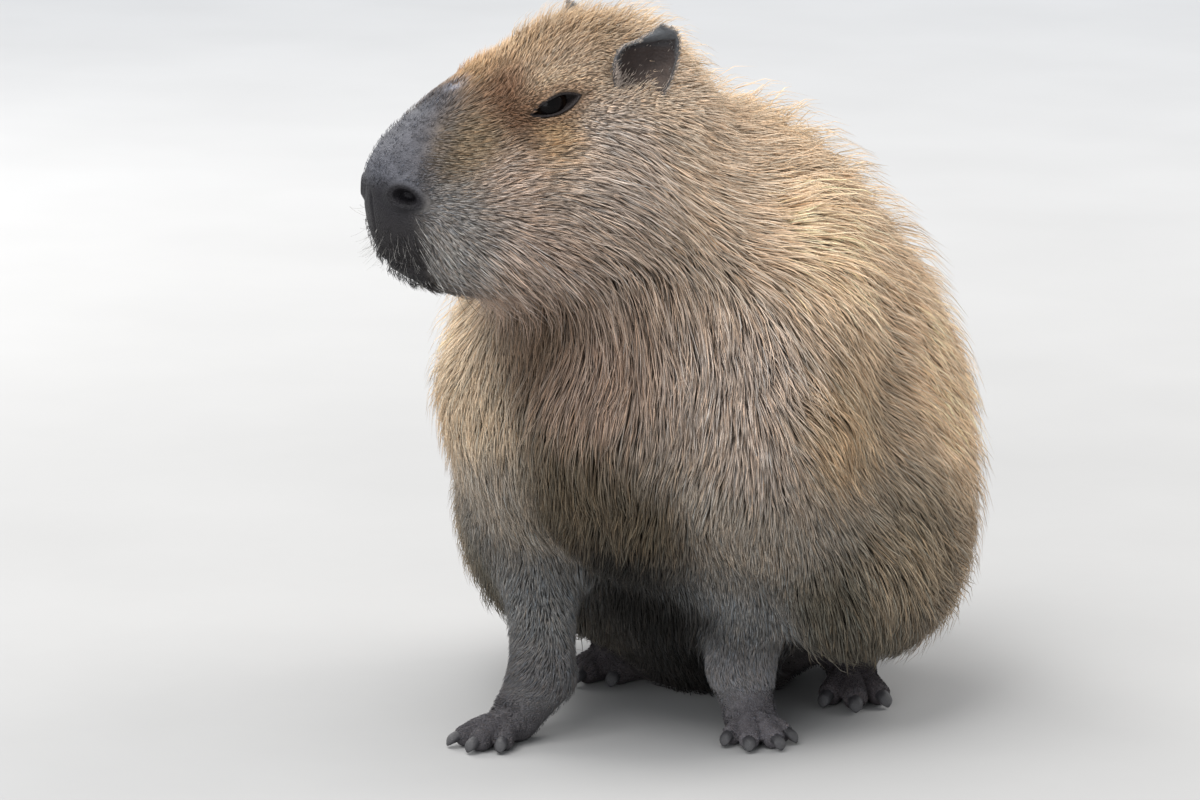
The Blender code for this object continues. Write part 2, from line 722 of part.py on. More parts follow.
def thigh_cutter(side, grow):
    centre = vec(side * (THIGH[0][0] + 0.045), THIGH[0][1], THIGH[0][2])
    return ball("cut", centre, vec(0.085, 0.150, 0.108) + grow, tilt=THIGH[2], around=18, rings=10)


def take(whole, name, cutter, *details):
    """Cuts a node out of the whole and leaves a thin gap around it."""
    node = copy_of(whole, name)
    tool = cutter(*details, 0.0)
    combine(node, tool, "INTERSECT")
    remove(tool)
    tool = cutter(*details, GAP)
    combine(whole, tool, "DIFFERENCE")
    remove(tool)
    keep_largest(node)
    return node


SIDE_NAMES = {1: "left", -1: "right"}


def side_place(side, place):
    return head_place(side * place[0], *place[1:])


def eye(side):
    return ball("eye_" + SIDE_NAMES[side], side_place(side, EYE_PLACE), [EYE_RADIUS] * 3, around=16, rings=9)


def lid_opening(side):
    """Almond prism that opens the lids in front of the eye."""
    length, height = LID_SLIT_HALF
    steps = 7
    upper = [vec(0, length * t, height * (1 - t * t)) for t in np.linspace(-1, 1, steps)]
    lower = [vec(0, length * t, -0.8 * height * (1 - t * t)) for t in np.linspace(1, -1, steps)[1:-1]]
    spin = turned(LID_SLOPE, 0.0)
    outline = [spin @ point for point in upper + lower]
    centre = vec(*EYE_PLACE)
    rows = []
    for reach in (0.0, 0.040):
        for x, back, up in outline:
            rows.append(head_place(side * (centre[0] + reach), centre[1] + back, centre[2] + up))
    count = len(outline)
    faces = [tuple(range(count)), tuple(range(2 * count - 1, count - 1, -1))]
    faces += [(k + count, (k + 1) % count + count, (k + 1) % count, k) for k in range(count)]
    if side < 0:
        faces = [face[::-1] for face in faces]
    return mesh_object("opening", rows, faces)


def nostril_pit(side):
    place = head_place(side * (NOSTRIL_PLACE[0] + 0.009), NOSTRIL_PLACE[1] - 0.009, NOSTRIL_PLACE[2])
    return ball("cut", place, NOSTRIL_HALF, turn=side * 45 - HEAD_TURN, around=14, rings=8)


def mouth_line():
    """Wedge that follows the lips around the muzzle."""
    points, faces = [], []
    steps = 15
    for k in range(steps):
        a = math.radians(-84 + 168 * k / (steps - 1))
        out = math.sin(a) * HEAD_LEFT + math.cos(a) * HEAD_FORWARD
        level = MOUTH_LEVEL - 0.004 * (1 - math.cos(a))
        guess = head_place(MOUTH_REACH[0] * math.sin(a), MOUTH_BACK - MOUTH_REACH[1] * math.cos(a), level)
        for _ in range(6):
            guess = guess - core_field(guess[None])[0] * out
        half = 0.0016 * (1.0 if 0 < k < steps - 1 else 0.5)
        points += [guess - 0.0045 * out, guess + 0.003 * out + half * HEAD_UP, guess + 0.003 * out - half * HEAD_UP]
    for k in range(steps - 1):
        a, b = 3 * k, 3 * k + 3
        faces += [(a, a + 1, b + 1, b), (a + 1, a + 2, b + 2, b + 1), (a + 2, a, b, b + 2)]
    faces += [(2, 1, 0), (3 * steps - 3, 3 * steps - 2, 3 * steps - 1)]
    return mesh_object("lips", points, faces)


EAR_ROWS = (0.0, 0.22, 0.42, 0.60, 0.76, 0.88, 0.96, 1.0)
EAR_HALF_WIDTHS = (0.0180, 0.0220, 0.0245, 0.0260, 0.0255, 0.0225, 0.0165, 0.0080)
EAR_COLUMNS = 7
EAR_CUP = 0.011
EAR_SHEAR = 0.007
EAR_THICK = 0.0030


def ear(side):
    """Cupped leathery shell with a thin rim, rooted in the head."""
    base, tip = vec(*EAR_BASE), vec(*EAR_TIP)
    a = math.radians(EAR_FACING)
    facing = vec(math.sin(a), -math.cos(a), 0.10)
    across = vec(math.cos(a), math.sin(a), 0.0)
    upward = unit(tip - base)
    sheets = []
    for back in (0.0, 1.0):
        rows = []
        for h, half in zip(EAR_ROWS, EAR_HALF_WIDTHS):
            for w in np.linspace(-1, 1, EAR_COLUMNS):
                cup = EAR_CUP * (w * w - 0.35) * (1.0 - 0.6 * h * h) * min(1.0, 0.3 + 1.4 * h)
                thick = EAR_THICK * (0.5 + (1.0 + 2.0 * (1 - h)) * (1 - w * w))
                centre = base + (tip - base) * h - 0.003 * math.sin(math.pi * h) * facing
                shear = EAR_SHEAR * w * h * h * upward
                rows.append(centre + w * half * across + (cup - back * thick) * facing + shear)
        sheets.append(rows)
    points = [head_place(side * x, y, z) for x, y, z in sheets[0] + sheets[1]]
    rows, columns = len(EAR_ROWS), EAR_COLUMNS
    front, rear = 0, rows * columns
    faces = []
    for r in range(rows - 1):
        for c in range(columns - 1):
            q = r * columns + c
            faces.append((front + q, front + q + 1, front + q + columns + 1, front + q + columns))
            faces.append((rear + q, rear + q + columns, rear + q + columns + 1, rear + q + 1))
    edge = [c for c in range(columns)]
    edge += [r * columns + columns - 1 for r in range(1, rows)]
    edge += [(rows - 1) * columns + c for c in range(columns - 2, -1, -1)]
    edge += [r * columns for r in range(rows - 2, 0, -1)]
    for k in range(len(edge)):
        a, b = edge[k], edge[(k + 1) % len(edge)]
        faces.append((front + b, front + a, rear + a, rear + b))
    if side < 0:
        faces = [face[::-1] for face in faces]
    return mesh_object("ear_" + SIDE_NAMES[side], points, faces)


CLAW_LENGTH = 0.017
CLAW_HALF_WIDTH = 0.0055
CLAW_HEIGHT = 0.0085


def claw(name, tip, way, size):
    """Blunt curved horn that starts inside the toe and ends just above the floor."""
    side = np.cross(way, HEAD_UP)
    points, faces = [], []
    stations = ((-0.008, 0.0055, 1.0), (0.002, 0.0050, 1.0), (0.009, 0.0030, 0.90), (CLAW_LENGTH, 0.0, 0.62))
    for ahead, lift, share in stations:
        middle = tip + size * ahead * way
        middle[2] = 0.0022 + lift
        for k in range(8):
            a = 2 * math.pi * k / 8
            wide = CLAW_HALF_WIDTH * share * size * math.cos(a)
            high = CLAW_HEIGHT / 2 * share * size * (1 + math.sin(a))
            points.append(middle + wide * side + vec(0, 0, high))
    for ring in range(len(stations) - 1):
        a, b = 8 * ring, 8 * ring + 8
        faces += [(a + k, b + k, b + (k + 1) % 8, a + (k + 1) % 8) for k in range(8)]
    faces += [tuple(range(8)), tuple(range(len(points) - 1, len(points) - 9, -1))]
    return mesh_object(name, points, faces)


def build():
    for item in list(bpy.data.objects):
        bpy.data.objects.remove(item)
    whole = solid_core()
    shell = grown(whole, SHELL_GAP, "shell")
    tufts = bpy.data.collections.new("tufts")
    for tuft in locks():
        tufts.objects.link(tuft)
    combine(whole, tufts, "UNION")
    for tuft in list(tufts.objects):
        remove(tuft)
    bpy.data.collections.remove(tufts)
    ground = block((0, 0, 0), (-1, -1, -0.3), (1, 1, FLOOR))
    combine(whole, ground, "DIFFERENCE")
    remove(ground)
    nodes = []

    head = take(whole, "head", head_cutter)
    lips = mouth_line()
    combine(head, lips, "DIFFERENCE")
    remove(lips)
    for side in SIDES:
        for tool in (
            ball("cut", side_place(side, EYE_PLACE), [EYE_RADIUS + GAP] * 3, around=16, rings=9),
            lid_opening(side),
            nostril_pit(side),
        ):
            combine(head, tool, "DIFFERENCE")
            remove(tool)
    keep_largest(head)
    nodes.append((head, FUR, 0.8))
    nodes.append((take(whole, "neck", neck_cutter), FUR, 0.8))
    for side in SIDES:
        name = SIDE_NAMES[side]
        nodes.append((take(whole, "forefoot_" + name, forefoot_cutter, side), FOOT_SKIN, 0.6))
        nodes.append((take(whole, "foreleg_" + name, foreleg_cutter, side), FUR_DARK, 0.8))
        nodes.append((take(whole, "hindfoot_" + name, hindfoot_cutter, side), FOOT_SKIN, 0.6))
    for side in SIDES:
        nodes.append((take(whole, "thigh_" + SIDE_NAMES[side], thigh_cutter, side), FUR_GREY, 0.8))
    keep_largest(whole)
    whole.name = "torso"
    nodes.append((whole, FUR, 0.8))

    for side in SIDES:
        name = SIDE_NAMES[side]
        nodes.append((eye(side), EYE_DARK, 0.08))
        flap = ear(side)
        combine(flap, shell, "DIFFERENCE")
        keep_largest(flap)
        nodes.append((flap, EAR_SKIN, 0.6))
        for fore, foot in ((True, "fore"), (False, "hind")):
            for number, (_, tip, way) in enumerate(toes_of(side, fore), 1):
                label = "claw_" + foot + "_" + name + "_" + str(number)
                horn = claw(label, tip, way, 1.0 if fore else 1.15)
                combine(horn, shell, "DIFFERENCE")
                keep_largest(horn)
                nodes.append((horn, CLAW_HORN, 0.45))
    remove(shell)

    corners = np.array([vert.co for item, _, _ in nodes for vert in item.data.vertices])
    low, high = corners.min(0), corners.max(0)
    shift = Vector((-(low[0] + high[0]) / 2, -(low[1] + high[1]) / 2, -FLOOR))
    for item, colour, rough in nodes:
        item.data.transform(Matrix.Translation(shift))
        finish(item, colour, rough)


build()
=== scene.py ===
"""A life-size capybara that sits on its haunches: the skin, coat, ears, eyes and claws over the solids.

The flesh is the same rounded form as that of the solids, made from the same sizes.
The coat is short flat hairs of three sides, rooted on the skin and traced along the way that the hair lies.
"""

import math

import bpy
import numpy as np
from bpy.props import FloatProperty, IntProperty, PointerProperty
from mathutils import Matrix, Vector, kdtree


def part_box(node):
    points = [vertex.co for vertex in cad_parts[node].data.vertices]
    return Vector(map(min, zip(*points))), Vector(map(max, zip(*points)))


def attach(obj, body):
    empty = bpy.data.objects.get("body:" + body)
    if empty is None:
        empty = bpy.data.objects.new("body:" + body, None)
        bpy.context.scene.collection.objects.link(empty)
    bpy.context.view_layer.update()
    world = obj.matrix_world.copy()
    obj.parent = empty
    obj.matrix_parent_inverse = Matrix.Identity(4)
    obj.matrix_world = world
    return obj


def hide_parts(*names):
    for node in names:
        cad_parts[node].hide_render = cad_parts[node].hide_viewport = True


bl_info = {
    "name": "Sitting capybara",
    "version": (1, 0, 0),
    "blender": (4, 5, 0),
    "location": "View3D > Sidebar > Capybara",
    "description": "Makes the skin, coat, ears, eyes and claws of a sitting capybara over its solids",
    "category": "Object",
}

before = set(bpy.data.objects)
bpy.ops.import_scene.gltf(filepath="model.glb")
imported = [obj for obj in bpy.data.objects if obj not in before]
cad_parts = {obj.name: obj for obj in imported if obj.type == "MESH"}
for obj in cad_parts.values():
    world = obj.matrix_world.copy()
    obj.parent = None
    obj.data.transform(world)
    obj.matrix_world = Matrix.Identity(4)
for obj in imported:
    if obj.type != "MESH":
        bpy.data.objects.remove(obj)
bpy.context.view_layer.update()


def vec(*values):
    """A place or a direction."""
    return np.array(values, float)


def turned(tilt=0.0, turn=0.0):
    """Rotation that tips about X, then turns about Z, in degrees."""
    a, b = math.radians(tilt), math.radians(turn)
    about_x = np.array([[1, 0, 0], [0, math.cos(a), -math.sin(a)], [0, math.sin(a), math.cos(a)]])
    about_z = np.array([[math.cos(b), -math.sin(b), 0], [math.sin(b), math.cos(b), 0], [0, 0, 1]])
    return about_z @ about_x


def ellipsoid(points, centre, half, tilt=0.0, turn=0.0):
    """Distance to an ellipsoid, close enough near its surface."""
    local = (points - np.asarray(centre)) @ turned(tilt, turn)
    scaled = local / np.asarray(half)
    near = np.sqrt((scaled * scaled).sum(-1))
    steep = np.sqrt(((scaled / np.asarray(half)) ** 2).sum(-1))
    return near * (near - 1.0) / np.maximum(steep, 1e-9)


def limb(points, start, end, start_radius, end_radius):
    """Distance to a rounded cone between two joints."""
    start, end = np.asarray(start), np.asarray(end)
    along = end - start
    share = np.clip((points - start) @ along / (along @ along), 0.0, 1.0)
    axis = start + share[..., None] * along
    radius = start_radius + (end_radius - start_radius) * share
    return np.sqrt(((points - axis) ** 2).sum(-1)) - radius


def join(a, b, width):
    """Smooth union of two distances."""
    share = np.clip(0.5 + 0.5 * (b - a) / width, 0.0, 1.0)
    return b + (a - b) * share - width * share * (1.0 - share)


def ease(value, start, end):
    """Smooth step from 0 at start to 1 at end."""
    t = np.clip((value - start) / (end - start), 0.0, 1.0)
    return t * t * (3.0 - 2.0 * t)


def hump(value, middle, width):
    """Smooth hump of height 1 about a middle value."""
    return np.exp(-(((value - middle) / width) ** 2))


def curve(s, stations, values):
    """Smooth curve through a few named stations (cubic with Catmull-Rom slopes)."""
    stations, values = np.asarray(stations, float), np.asarray(values, float)
    slopes = np.gradient(values, stations)
    s = np.clip(s, stations[0], stations[-1])
    i = np.clip(np.searchsorted(stations, s, side="right") - 1, 0, len(stations) - 2)
    gap = stations[i + 1] - stations[i]
    t = (s - stations[i]) / gap
    return (
        (1 + 2 * t) * (1 - t) ** 2 * values[i]
        + t * (1 - t) ** 2 * gap * slopes[i]
        + t * t * (3 - 2 * t) * values[i + 1]
        + t * t * (t - 1) * gap * slopes[i + 1]
    )


def length_of(vectors):
    """Length of each of an array of directions."""
    return np.linalg.norm(vectors, axis=-1)


def unit(vectors):
    """The same directions with a length of 1."""
    return vectors / np.maximum(length_of(vectors)[..., None], 1e-12)


# Head: the nose tip's place, and how far the head turns to the animal's right

NOSE_TIP = vec(-0.1475, -0.2453, 0.511)
HEAD_TURN = 37.0
HEAD_LENGTH = 0.290
HEAD_FORWARD = vec(-math.sin(math.radians(HEAD_TURN)), -math.cos(math.radians(HEAD_TURN)), 0.0)
HEAD_LEFT = vec(-HEAD_FORWARD[1], HEAD_FORWARD[0], 0.0)
HEAD_UP = vec(0.0, 0.0, 1.0)

# Distances back from the nose tip, and the head's top, bottom and half width there

HEAD_STATIONS = (-0.03, 0.0, 0.02, 0.05, 0.09, 0.13, 0.17, 0.21, 0.25, 0.29)
HEAD_TOP = (0.032, 0.036, 0.042, 0.0505, 0.069, 0.084, 0.095, 0.101, 0.101, 0.096)
HEAD_BOTTOM = (-0.072, -0.078, -0.083, -0.089, -0.094, -0.096, -0.095, -0.086, -0.072, -0.05)
HEAD_HALF_WIDTH = (0.038, 0.040, 0.042, 0.045, 0.050, 0.058, 0.066, 0.069, 0.066, 0.058)
HEAD_SQUARENESS = 2.7
SNOUT_SETBACK = 0.014
SNOUT_LEVEL = -0.010
SNOUT_LEAN_ABOVE = 9.0
SNOUT_LEAN_BELOW = 3.6
SNOUT_CROWN = 8.0
SNOUT_ROUNDING = 0.026
OCCIPUT_ROUNDING = 0.09

# Eyes, nostrils, mouth and ears, as distances to the side, back from the nose tip, and up

EYE_PLACE = (0.0455, 0.151, 0.056)
EYE_RADIUS = 0.0160
LID_SLOPE = 20.0
LID_SLIT_HALF = (0.0195, 0.0068)
BROW_PLACE = (0.041, 0.152, 0.060)
BROW_HALF = (0.017, 0.032, 0.019)
NOSTRIL_PLACE = (0.0270, 0.034, -0.012)
NOSTRIL_HALF = (0.0108, 0.0070)
NOSTRIL_RIM_HALF = (0.014, 0.011, 0.012)
MOUTH_LEVEL = -0.070
MOUTH_BACK = 0.052
EAR_BASE = (0.0680, 0.2220, 0.0540)
EAR_TIP = (0.0740, 0.2290, 0.1100)
EAR_FACING = 72.0
EAR_HOLLOW_PLACE = (0.075, 0.2135, 0.083)
EAR_HOLLOW_HALF = (0.028, 0.026, 0.022)
BRIDGE_PATCH = (0.004, 0.084, 0.070)

SIDES = (1, -1)
SIDE_NAMES = {1: "left", -1: "right"}
FEET = [(side, fore) for side in SIDES for fore in (True, False)]


def head_place(left, back, up):
    """A point given in the head's own directions: to its left, back from the nose tip, and up."""
    return NOSE_TIP + left * HEAD_LEFT - back * HEAD_FORWARD + up * HEAD_UP


def in_head(points):
    """The head's own left, back and up of some points."""
    offset = points - NOSE_TIP
    return offset @ HEAD_LEFT, -(offset @ HEAD_FORWARD), offset[..., 2]


def side_place(side, place):
    """A place given on the left side of the head, on that side."""
    return head_place(side * place[0], *place[1:])


def head_field(points):
    """Distance to the skin of the head, with its brows and the rims of its nostrils."""
    left, back, up = in_head(points)
    top = curve(back, HEAD_STATIONS, HEAD_TOP)
    bottom = curve(back, HEAD_STATIONS, HEAD_BOTTOM)
    width = curve(back, HEAD_STATIONS, HEAD_HALF_WIDTH)
    height = (top - bottom) / 2
    middle = (top + bottom) / 2
    # narrower above the cheeks, so that the brow and the bridge are rounder than the jaw
    across = np.abs(left) / (width * (1.0 - 0.18 * np.clip((up - middle) / height, -1.0, 1.0)))
    level = np.abs(up - middle) / height
    n = HEAD_SQUARENESS
    gauge = (across**n + level**n) ** (1.0 / n)
    tube = (gauge - 1.0) * np.minimum(width, height)
    lean = np.where(up > SNOUT_LEVEL, SNOUT_LEAN_ABOVE, SNOUT_LEAN_BELOW)
    front = SNOUT_SETBACK - back + lean * (up - SNOUT_LEVEL) ** 2 + SNOUT_CROWN * left**2
    head = -join(-tube, -front, SNOUT_ROUNDING)
    head = -join(-head, -(back - HEAD_LENGTH), OCCIPUT_ROUNDING)
    for side in SIDES:
        brow = side_place(side, BROW_PLACE)
        head = join(head, ellipsoid(points, brow, BROW_HALF, tilt=LID_SLOPE, turn=-HEAD_TURN), 0.016)
        turn = side * 45 - HEAD_TURN
        nostril = side_place(side, NOSTRIL_PLACE)
        head = join(head, ellipsoid(points, nostril, NOSTRIL_RIM_HALF, turn=turn), 0.010)
    return head


# Trunk: where each rounded mass sits, its half sizes and how far it tips forward

TRUNK = ((0, 0.204, 0.232), (0.186, 0.184, 0.186), -20)
RIBS = ((0, 0.094, 0.345), (0.148, 0.152, 0.166), -35)
CHEST = ((0, 0.004, 0.290), (0.108, 0.105, 0.120), 0)
RUMP = ((-0.030, 0.218, 0.118), (0.135, 0.120, 0.130), 0)
THIGH = ((0.136, 0.140, 0.162), (0.070, 0.140, 0.098), -20)
SHOULDER = ((0.100, 0.016, 0.295), (0.060, 0.085, 0.125), 0)
NECK_START = (0, 0.055, 0.400)
NECK_END = (0, 0.222, 0.014)
NECK_RADII = (0.112, 0.083)

# Legs: the shoulder and elbow joints, and where each wrist and heel stands

ARM_TOP = (0.105, 0.0, 0.290)
UPPER_ARM_RADII = (0.060, 0.038)
FOREARM_RADII = (0.032, 0.0225)
ELBOWS = {1: (0.080, 0.050, 0.185), -1: (-0.122, 0.055, 0.185)}
FORE_FEET = {1: (0.056, 0.076), -1: (-0.088, -0.016)}
FORE_TURN = {1: 36.0, -1: -26.0}
FORE_TOES = ((-38, 0.034), (-13, 0.047), (12, 0.047), (36, 0.036))
HIND_HEELS = {1: (0.056, 0.322), -1: (-0.062, 0.314)}
HIND_TURN = {1: 24.0, -1: -20.0}
HIND_TOES = ((-24, 0.050), (0, 0.062), (24, 0.050))
HIND_LENGTH = 0.110
PALM_LENGTH = 0.030


def heading(angle):
    """Level direction at that many degrees from straight ahead towards the animal's left."""
    a = math.radians(angle)
    return vec(math.sin(a), -math.cos(a), 0.0)


def elbow_of(side):
    """The elbow on that side."""
    return vec(*ELBOWS[side])


def wrist_of(side):
    """The wrist, above the heel of the forefoot."""
    return vec(*FORE_FEET[side], 0.060)


def palm_of(side):
    """Where the toes of a forefoot spread."""
    return vec(*FORE_FEET[side], 0.020) + PALM_LENGTH * heading(FORE_TURN[side])


def heel_of(side):
    """The heel of a hind foot."""
    return vec(*HIND_HEELS[side], 0.020)


def ball_of(side):
    """Where the toes of a hind foot spread."""
    return vec(*HIND_HEELS[side], 0.018) + HIND_LENGTH * heading(HIND_TURN[side])


def sole_of(side):
    """Heel and middle of the toes of a hind foot."""
    return heel_of(side), ball_of(side) + 0.05 * heading(HIND_TURN[side])


def toes_of(side, fore):
    """Root, tip and direction of each toe of a foot."""
    root, turn, toes, level = (
        (palm_of(side), FORE_TURN[side], FORE_TOES, 0.009)
        if fore
        else (ball_of(side), HIND_TURN[side], HIND_TOES, 0.010)
    )
    found = []
    for spread, length in toes:
        way = heading(turn + spread)
        tip = root + length * way
        tip[2] = level
        found.append((root, tip, way))
    return found


def fore_foot(p, side):
    """Distance to a forefoot."""
    foot = limb(p, vec(*FORE_FEET[side], 0.045), palm_of(side), 0.0235, 0.021)
    for root, tip, _ in toes_of(side, True):
        foot = join(foot, limb(p, root, tip, 0.015, 0.009), 0.008)
    return foot


def hind_foot(p, side):
    """Distance to a hind foot, from heel to toes."""
    foot = limb(p, heel_of(side), ball_of(side), 0.023, 0.019)
    for root, tip, _ in toes_of(side, False):
        foot = join(foot, limb(p, root, tip, 0.015, 0.010), 0.008)
    return foot


def fore_leg(p, side):
    """Distance to a foreleg and its foot."""
    elbow = elbow_of(side)
    upper = limb(p, (side * ARM_TOP[0], *ARM_TOP[1:]), elbow, *UPPER_ARM_RADII)
    leg = join(upper, limb(p, elbow, wrist_of(side), *FOREARM_RADII), 0.03)
    return join(leg, fore_foot(p, side), 0.020)


def body_field(p):
    """Distance to the skin of the whole animal, less its ears, eyes and claws."""
    centre, half, tilt = TRUNK
    trunk = ellipsoid(p, centre, half, tilt)
    for (centre, half, tilt), width in ((RIBS, 0.10), (CHEST, 0.08), (RUMP, 0.06)):
        trunk = join(trunk, ellipsoid(p, centre, half, tilt), width)
    for side in SIDES:
        for (centre, half, tilt), width in ((THIGH, 0.04), (SHOULDER, 0.05)):
            place = vec(side * centre[0], *centre[1:])
            trunk = join(trunk, ellipsoid(p, place, half, tilt), width)
    trunk = join(trunk, limb(p, NECK_START, head_place(*NECK_END), *NECK_RADII), 0.08)
    trunk = join(trunk, head_field(p), 0.035)
    for side in SIDES:
        hollow = side_place(side, EAR_HOLLOW_PLACE)
        trunk = -join(-trunk, ellipsoid(p, hollow, EAR_HOLLOW_HALF, turn=-HEAD_TURN), 0.012)
    for side in SIDES:
        trunk = join(trunk, fore_leg(p, side), 0.030)
        trunk = join(trunk, hind_foot(p, side), 0.022)
    return trunk


def gradient(points):
    """The way in which the distance to the skin grows, at some points."""
    tiny = 1e-4
    steps = [(body_field(points + tiny * e) - body_field(points - tiny * e)) / (2 * tiny) for e in np.eye(3)]
    return np.stack(steps, -1)


def settle(points, level=0.0, rounds=2, reach=0.003):
    """Moves points to that height over the skin."""
    for _ in range(rounds):
        slope = gradient(points)
        steep = np.maximum((slope**2).sum(-1), 1e-6)
        move = ((level - body_field(points)) / steep)[:, None] * slope
        size = np.linalg.norm(move, axis=-1, keepdims=True)
        points = points + move * np.minimum(1.0, reach / np.maximum(size, 1e-12))
    return points


# Colours of the coat and the bare skin

GOLD = (0.72, 0.53, 0.34)
# the golden coat of the right flank, made paler as painted light where light from behind catches it
GOLD_LIT_SIDE = (0.74, 0.585, 0.415)
HONEY = (0.46, 0.325, 0.20)
WHEAT = (0.86, 0.645, 0.44)
SAND = (0.66, 0.52, 0.39)
BROW_TAN = (0.56, 0.42, 0.285)
CROWN = (0.47, 0.352, 0.25)
FAWN = (0.53, 0.385, 0.245)
OCHRE = (0.50, 0.33, 0.18)
TAUPE = (0.52, 0.405, 0.33)
BEIGE = (0.54, 0.44, 0.365)
TEMPLE = (0.50, 0.42, 0.36)
OLIVE = (0.31, 0.228, 0.142)
DRAB = (0.335, 0.262, 0.180)
RUST = (0.175, 0.090, 0.050)
UMBER = (0.42, 0.305, 0.235)
BROWN = (0.130, 0.100, 0.064)
# painted shade: dark brown for the low flanks near the floor, where the belly shades them
LOW_FLANK_SHADE = (0.15, 0.13, 0.095)
# painted shadow: near black, for the shade between the legs and under the chest and belly
PAINTED_SHADOW = (0.014, 0.0125, 0.010)
MUZZLE = (0.30, 0.282, 0.268)
JAW_GREY = (0.42, 0.385, 0.355)
CHIN = (0.060, 0.054, 0.050)
NOSE_BLUE = (0.076, 0.079, 0.094)
BLACKISH = (0.013, 0.012, 0.014)
LEG_GREY = (0.245, 0.243, 0.238)
ARM_GREY = (0.40, 0.345, 0.285)
ELBOW_GREY = (0.275, 0.250, 0.220)
WRIST_GREY = (0.185, 0.180, 0.182)
FOOT_DARK = (0.094, 0.088, 0.096)
THROAT = (0.168, 0.115, 0.076)
# the hind feet's own dark colour, made darker as painted shade where they lie under the flanks
HIND_DARK_SHADED = (0.075, 0.066, 0.072)
# painted light and shade: the left foreleg and forefoot made paler, as they stand in the light, the right ones
# darker, in shade
FOOT_LIGHT_SHADE = {1: 1.55, -1: 0.85}
LEG_LIGHT_SHADE = {side: math.sqrt(share) for side, share in FOOT_LIGHT_SHADE.items()}
PATCH_PALE = (0.20, 0.215, 0.26)
WHITISH = (0.66, 0.64, 0.60)


def sided(side):
    """Places on one side of the head, and on one side of the body."""
    return lambda left, back, up: head_place(side * left, back, up), lambda x, y, z: vec(side * x, y, z)


def coat_guides():
    """Places on the body, the way the hair lies there, and how far its tips stand off the skin."""
    back, up, down = -HEAD_FORWARD, HEAD_UP, -HEAD_UP
    guides = [
        (head_place(0, 0.015, 0.0), up + 0.3 * back, 0.002),
        (head_place(0, 0.050, 0.055), back, 0.003),
        (head_place(0, 0.085, 0.066), back, 0.003),
        (head_place(0, 0.112, 0.080), back + 0.3 * up, 0.007),
        (head_place(0, 0.190, 0.106), back + 0.2 * up, 0.011),
        (head_place(0, 0.270, 0.085), back + 0.3 * down, 0.016),
        (head_place(0, 0.050, -0.090), back + 0.4 * down, 0.006),
        (head_place(0, 0.120, -0.100), back + 0.5 * down, 0.012),
        (vec(0.03, -0.105, 0.38), vec(0.25, 0, -1), 0.020),
        (vec(-0.03, -0.115, 0.31), vec(-0.1, 0, -1), 0.021),
        (vec(0, -0.070, 0.18), vec(0, 0.3, -1), 0.018),
        (vec(0, 0.060, 0.10), vec(0, 0.5, -0.6), 0.012),
        (vec(0, 0.170, 0.03), vec(0, 1, -0.2), 0.010),
        (vec(0, 0.130, 0.51), vec(0, 0.8, 0.1), 0.023),
        (vec(0, 0.230, 0.42), vec(0, 0.8, -0.5), 0.024),
        (vec(0, 0.340, 0.30), vec(0, 0.5, -0.9), 0.025),
        (vec(0, 0.370, 0.15), vec(0, 0.1, -1), 0.023),
    ]
    for side in SIDES:
        out, ahead, hind_way = side * HEAD_LEFT, heading(FORE_TURN[side]), heading(HIND_TURN[side])
        wrist, palm, ball = wrist_of(side), palm_of(side), ball_of(side)
        on_head, at = sided(side)
        guides += [
            (on_head(0.040, 0.030, -0.005), back, 0.002),
            (on_head(0.040, 0.040, -0.060), back + 1.2 * down, 0.004),
            (on_head(0.046, 0.075, 0.020), back + 0.1 * down, 0.005),
            (on_head(0.054, 0.150, 0.056), back, 0.003),
            (on_head(0.060, 0.135, -0.010), back + 0.25 * down, 0.008),
            (on_head(0.050, 0.120, -0.075), back + 1.0 * down, 0.010),
            (on_head(0.068, 0.205, 0.000), back + 0.6 * down + 0.2 * out, 0.014),
            (on_head(0.050, 0.250, 0.090), back + 0.2 * down, 0.009),
            (on_head(0.058, 0.212, 0.076), back + 0.2 * down, 0.004),
            (at(0.115, 0.050, 0.44), at(0.1, 0.7, -0.5), 0.022),
            (at(0.150, 0.000, 0.33), vec(0, 0.35, -1), 0.020),
            (at(0.108, -0.065, 0.26), vec(0, 0.1, -1), 0.013),
            (at(0.100, -0.030, 0.21), vec(0, 0.1, -1), 0.009),
            (at(0.180, 0.120, 0.33), vec(0, 0.8, -0.7), 0.023),
            (at(0.190, 0.250, 0.26), vec(0, 0.6, -0.9), 0.024),
            (at(0.205, 0.130, 0.15), vec(0, 0.6, -1), 0.022),
            (at(0.130, 0.300, 0.12), vec(0, 0.3, -1), 0.022),
            (at(0.150, 0.070, 0.09), vec(0, 0.6, -1), 0.018),
            (elbow_of(side) + vec(0, -0.03, -0.02), vec(0, 0, -1), 0.008),
            (wrist + 0.05 * up, down, 0.006),
            (wrist, down, 0.004),
            (palm, ahead, 0.002),
            (palm + 0.04 * ahead, ahead, 0.001),
            (ball, hind_way, 0.002),
            (ball + 0.04 * hind_way, hind_way, 0.001),
            (heel_of(side), hind_way, 0.003),
        ]
    places = np.array([guide[0] for guide in guides])
    ways = unit(np.array([guide[1] for guide in guides]))
    depths = np.array([guide[2] for guide in guides])
    return places, ways, depths


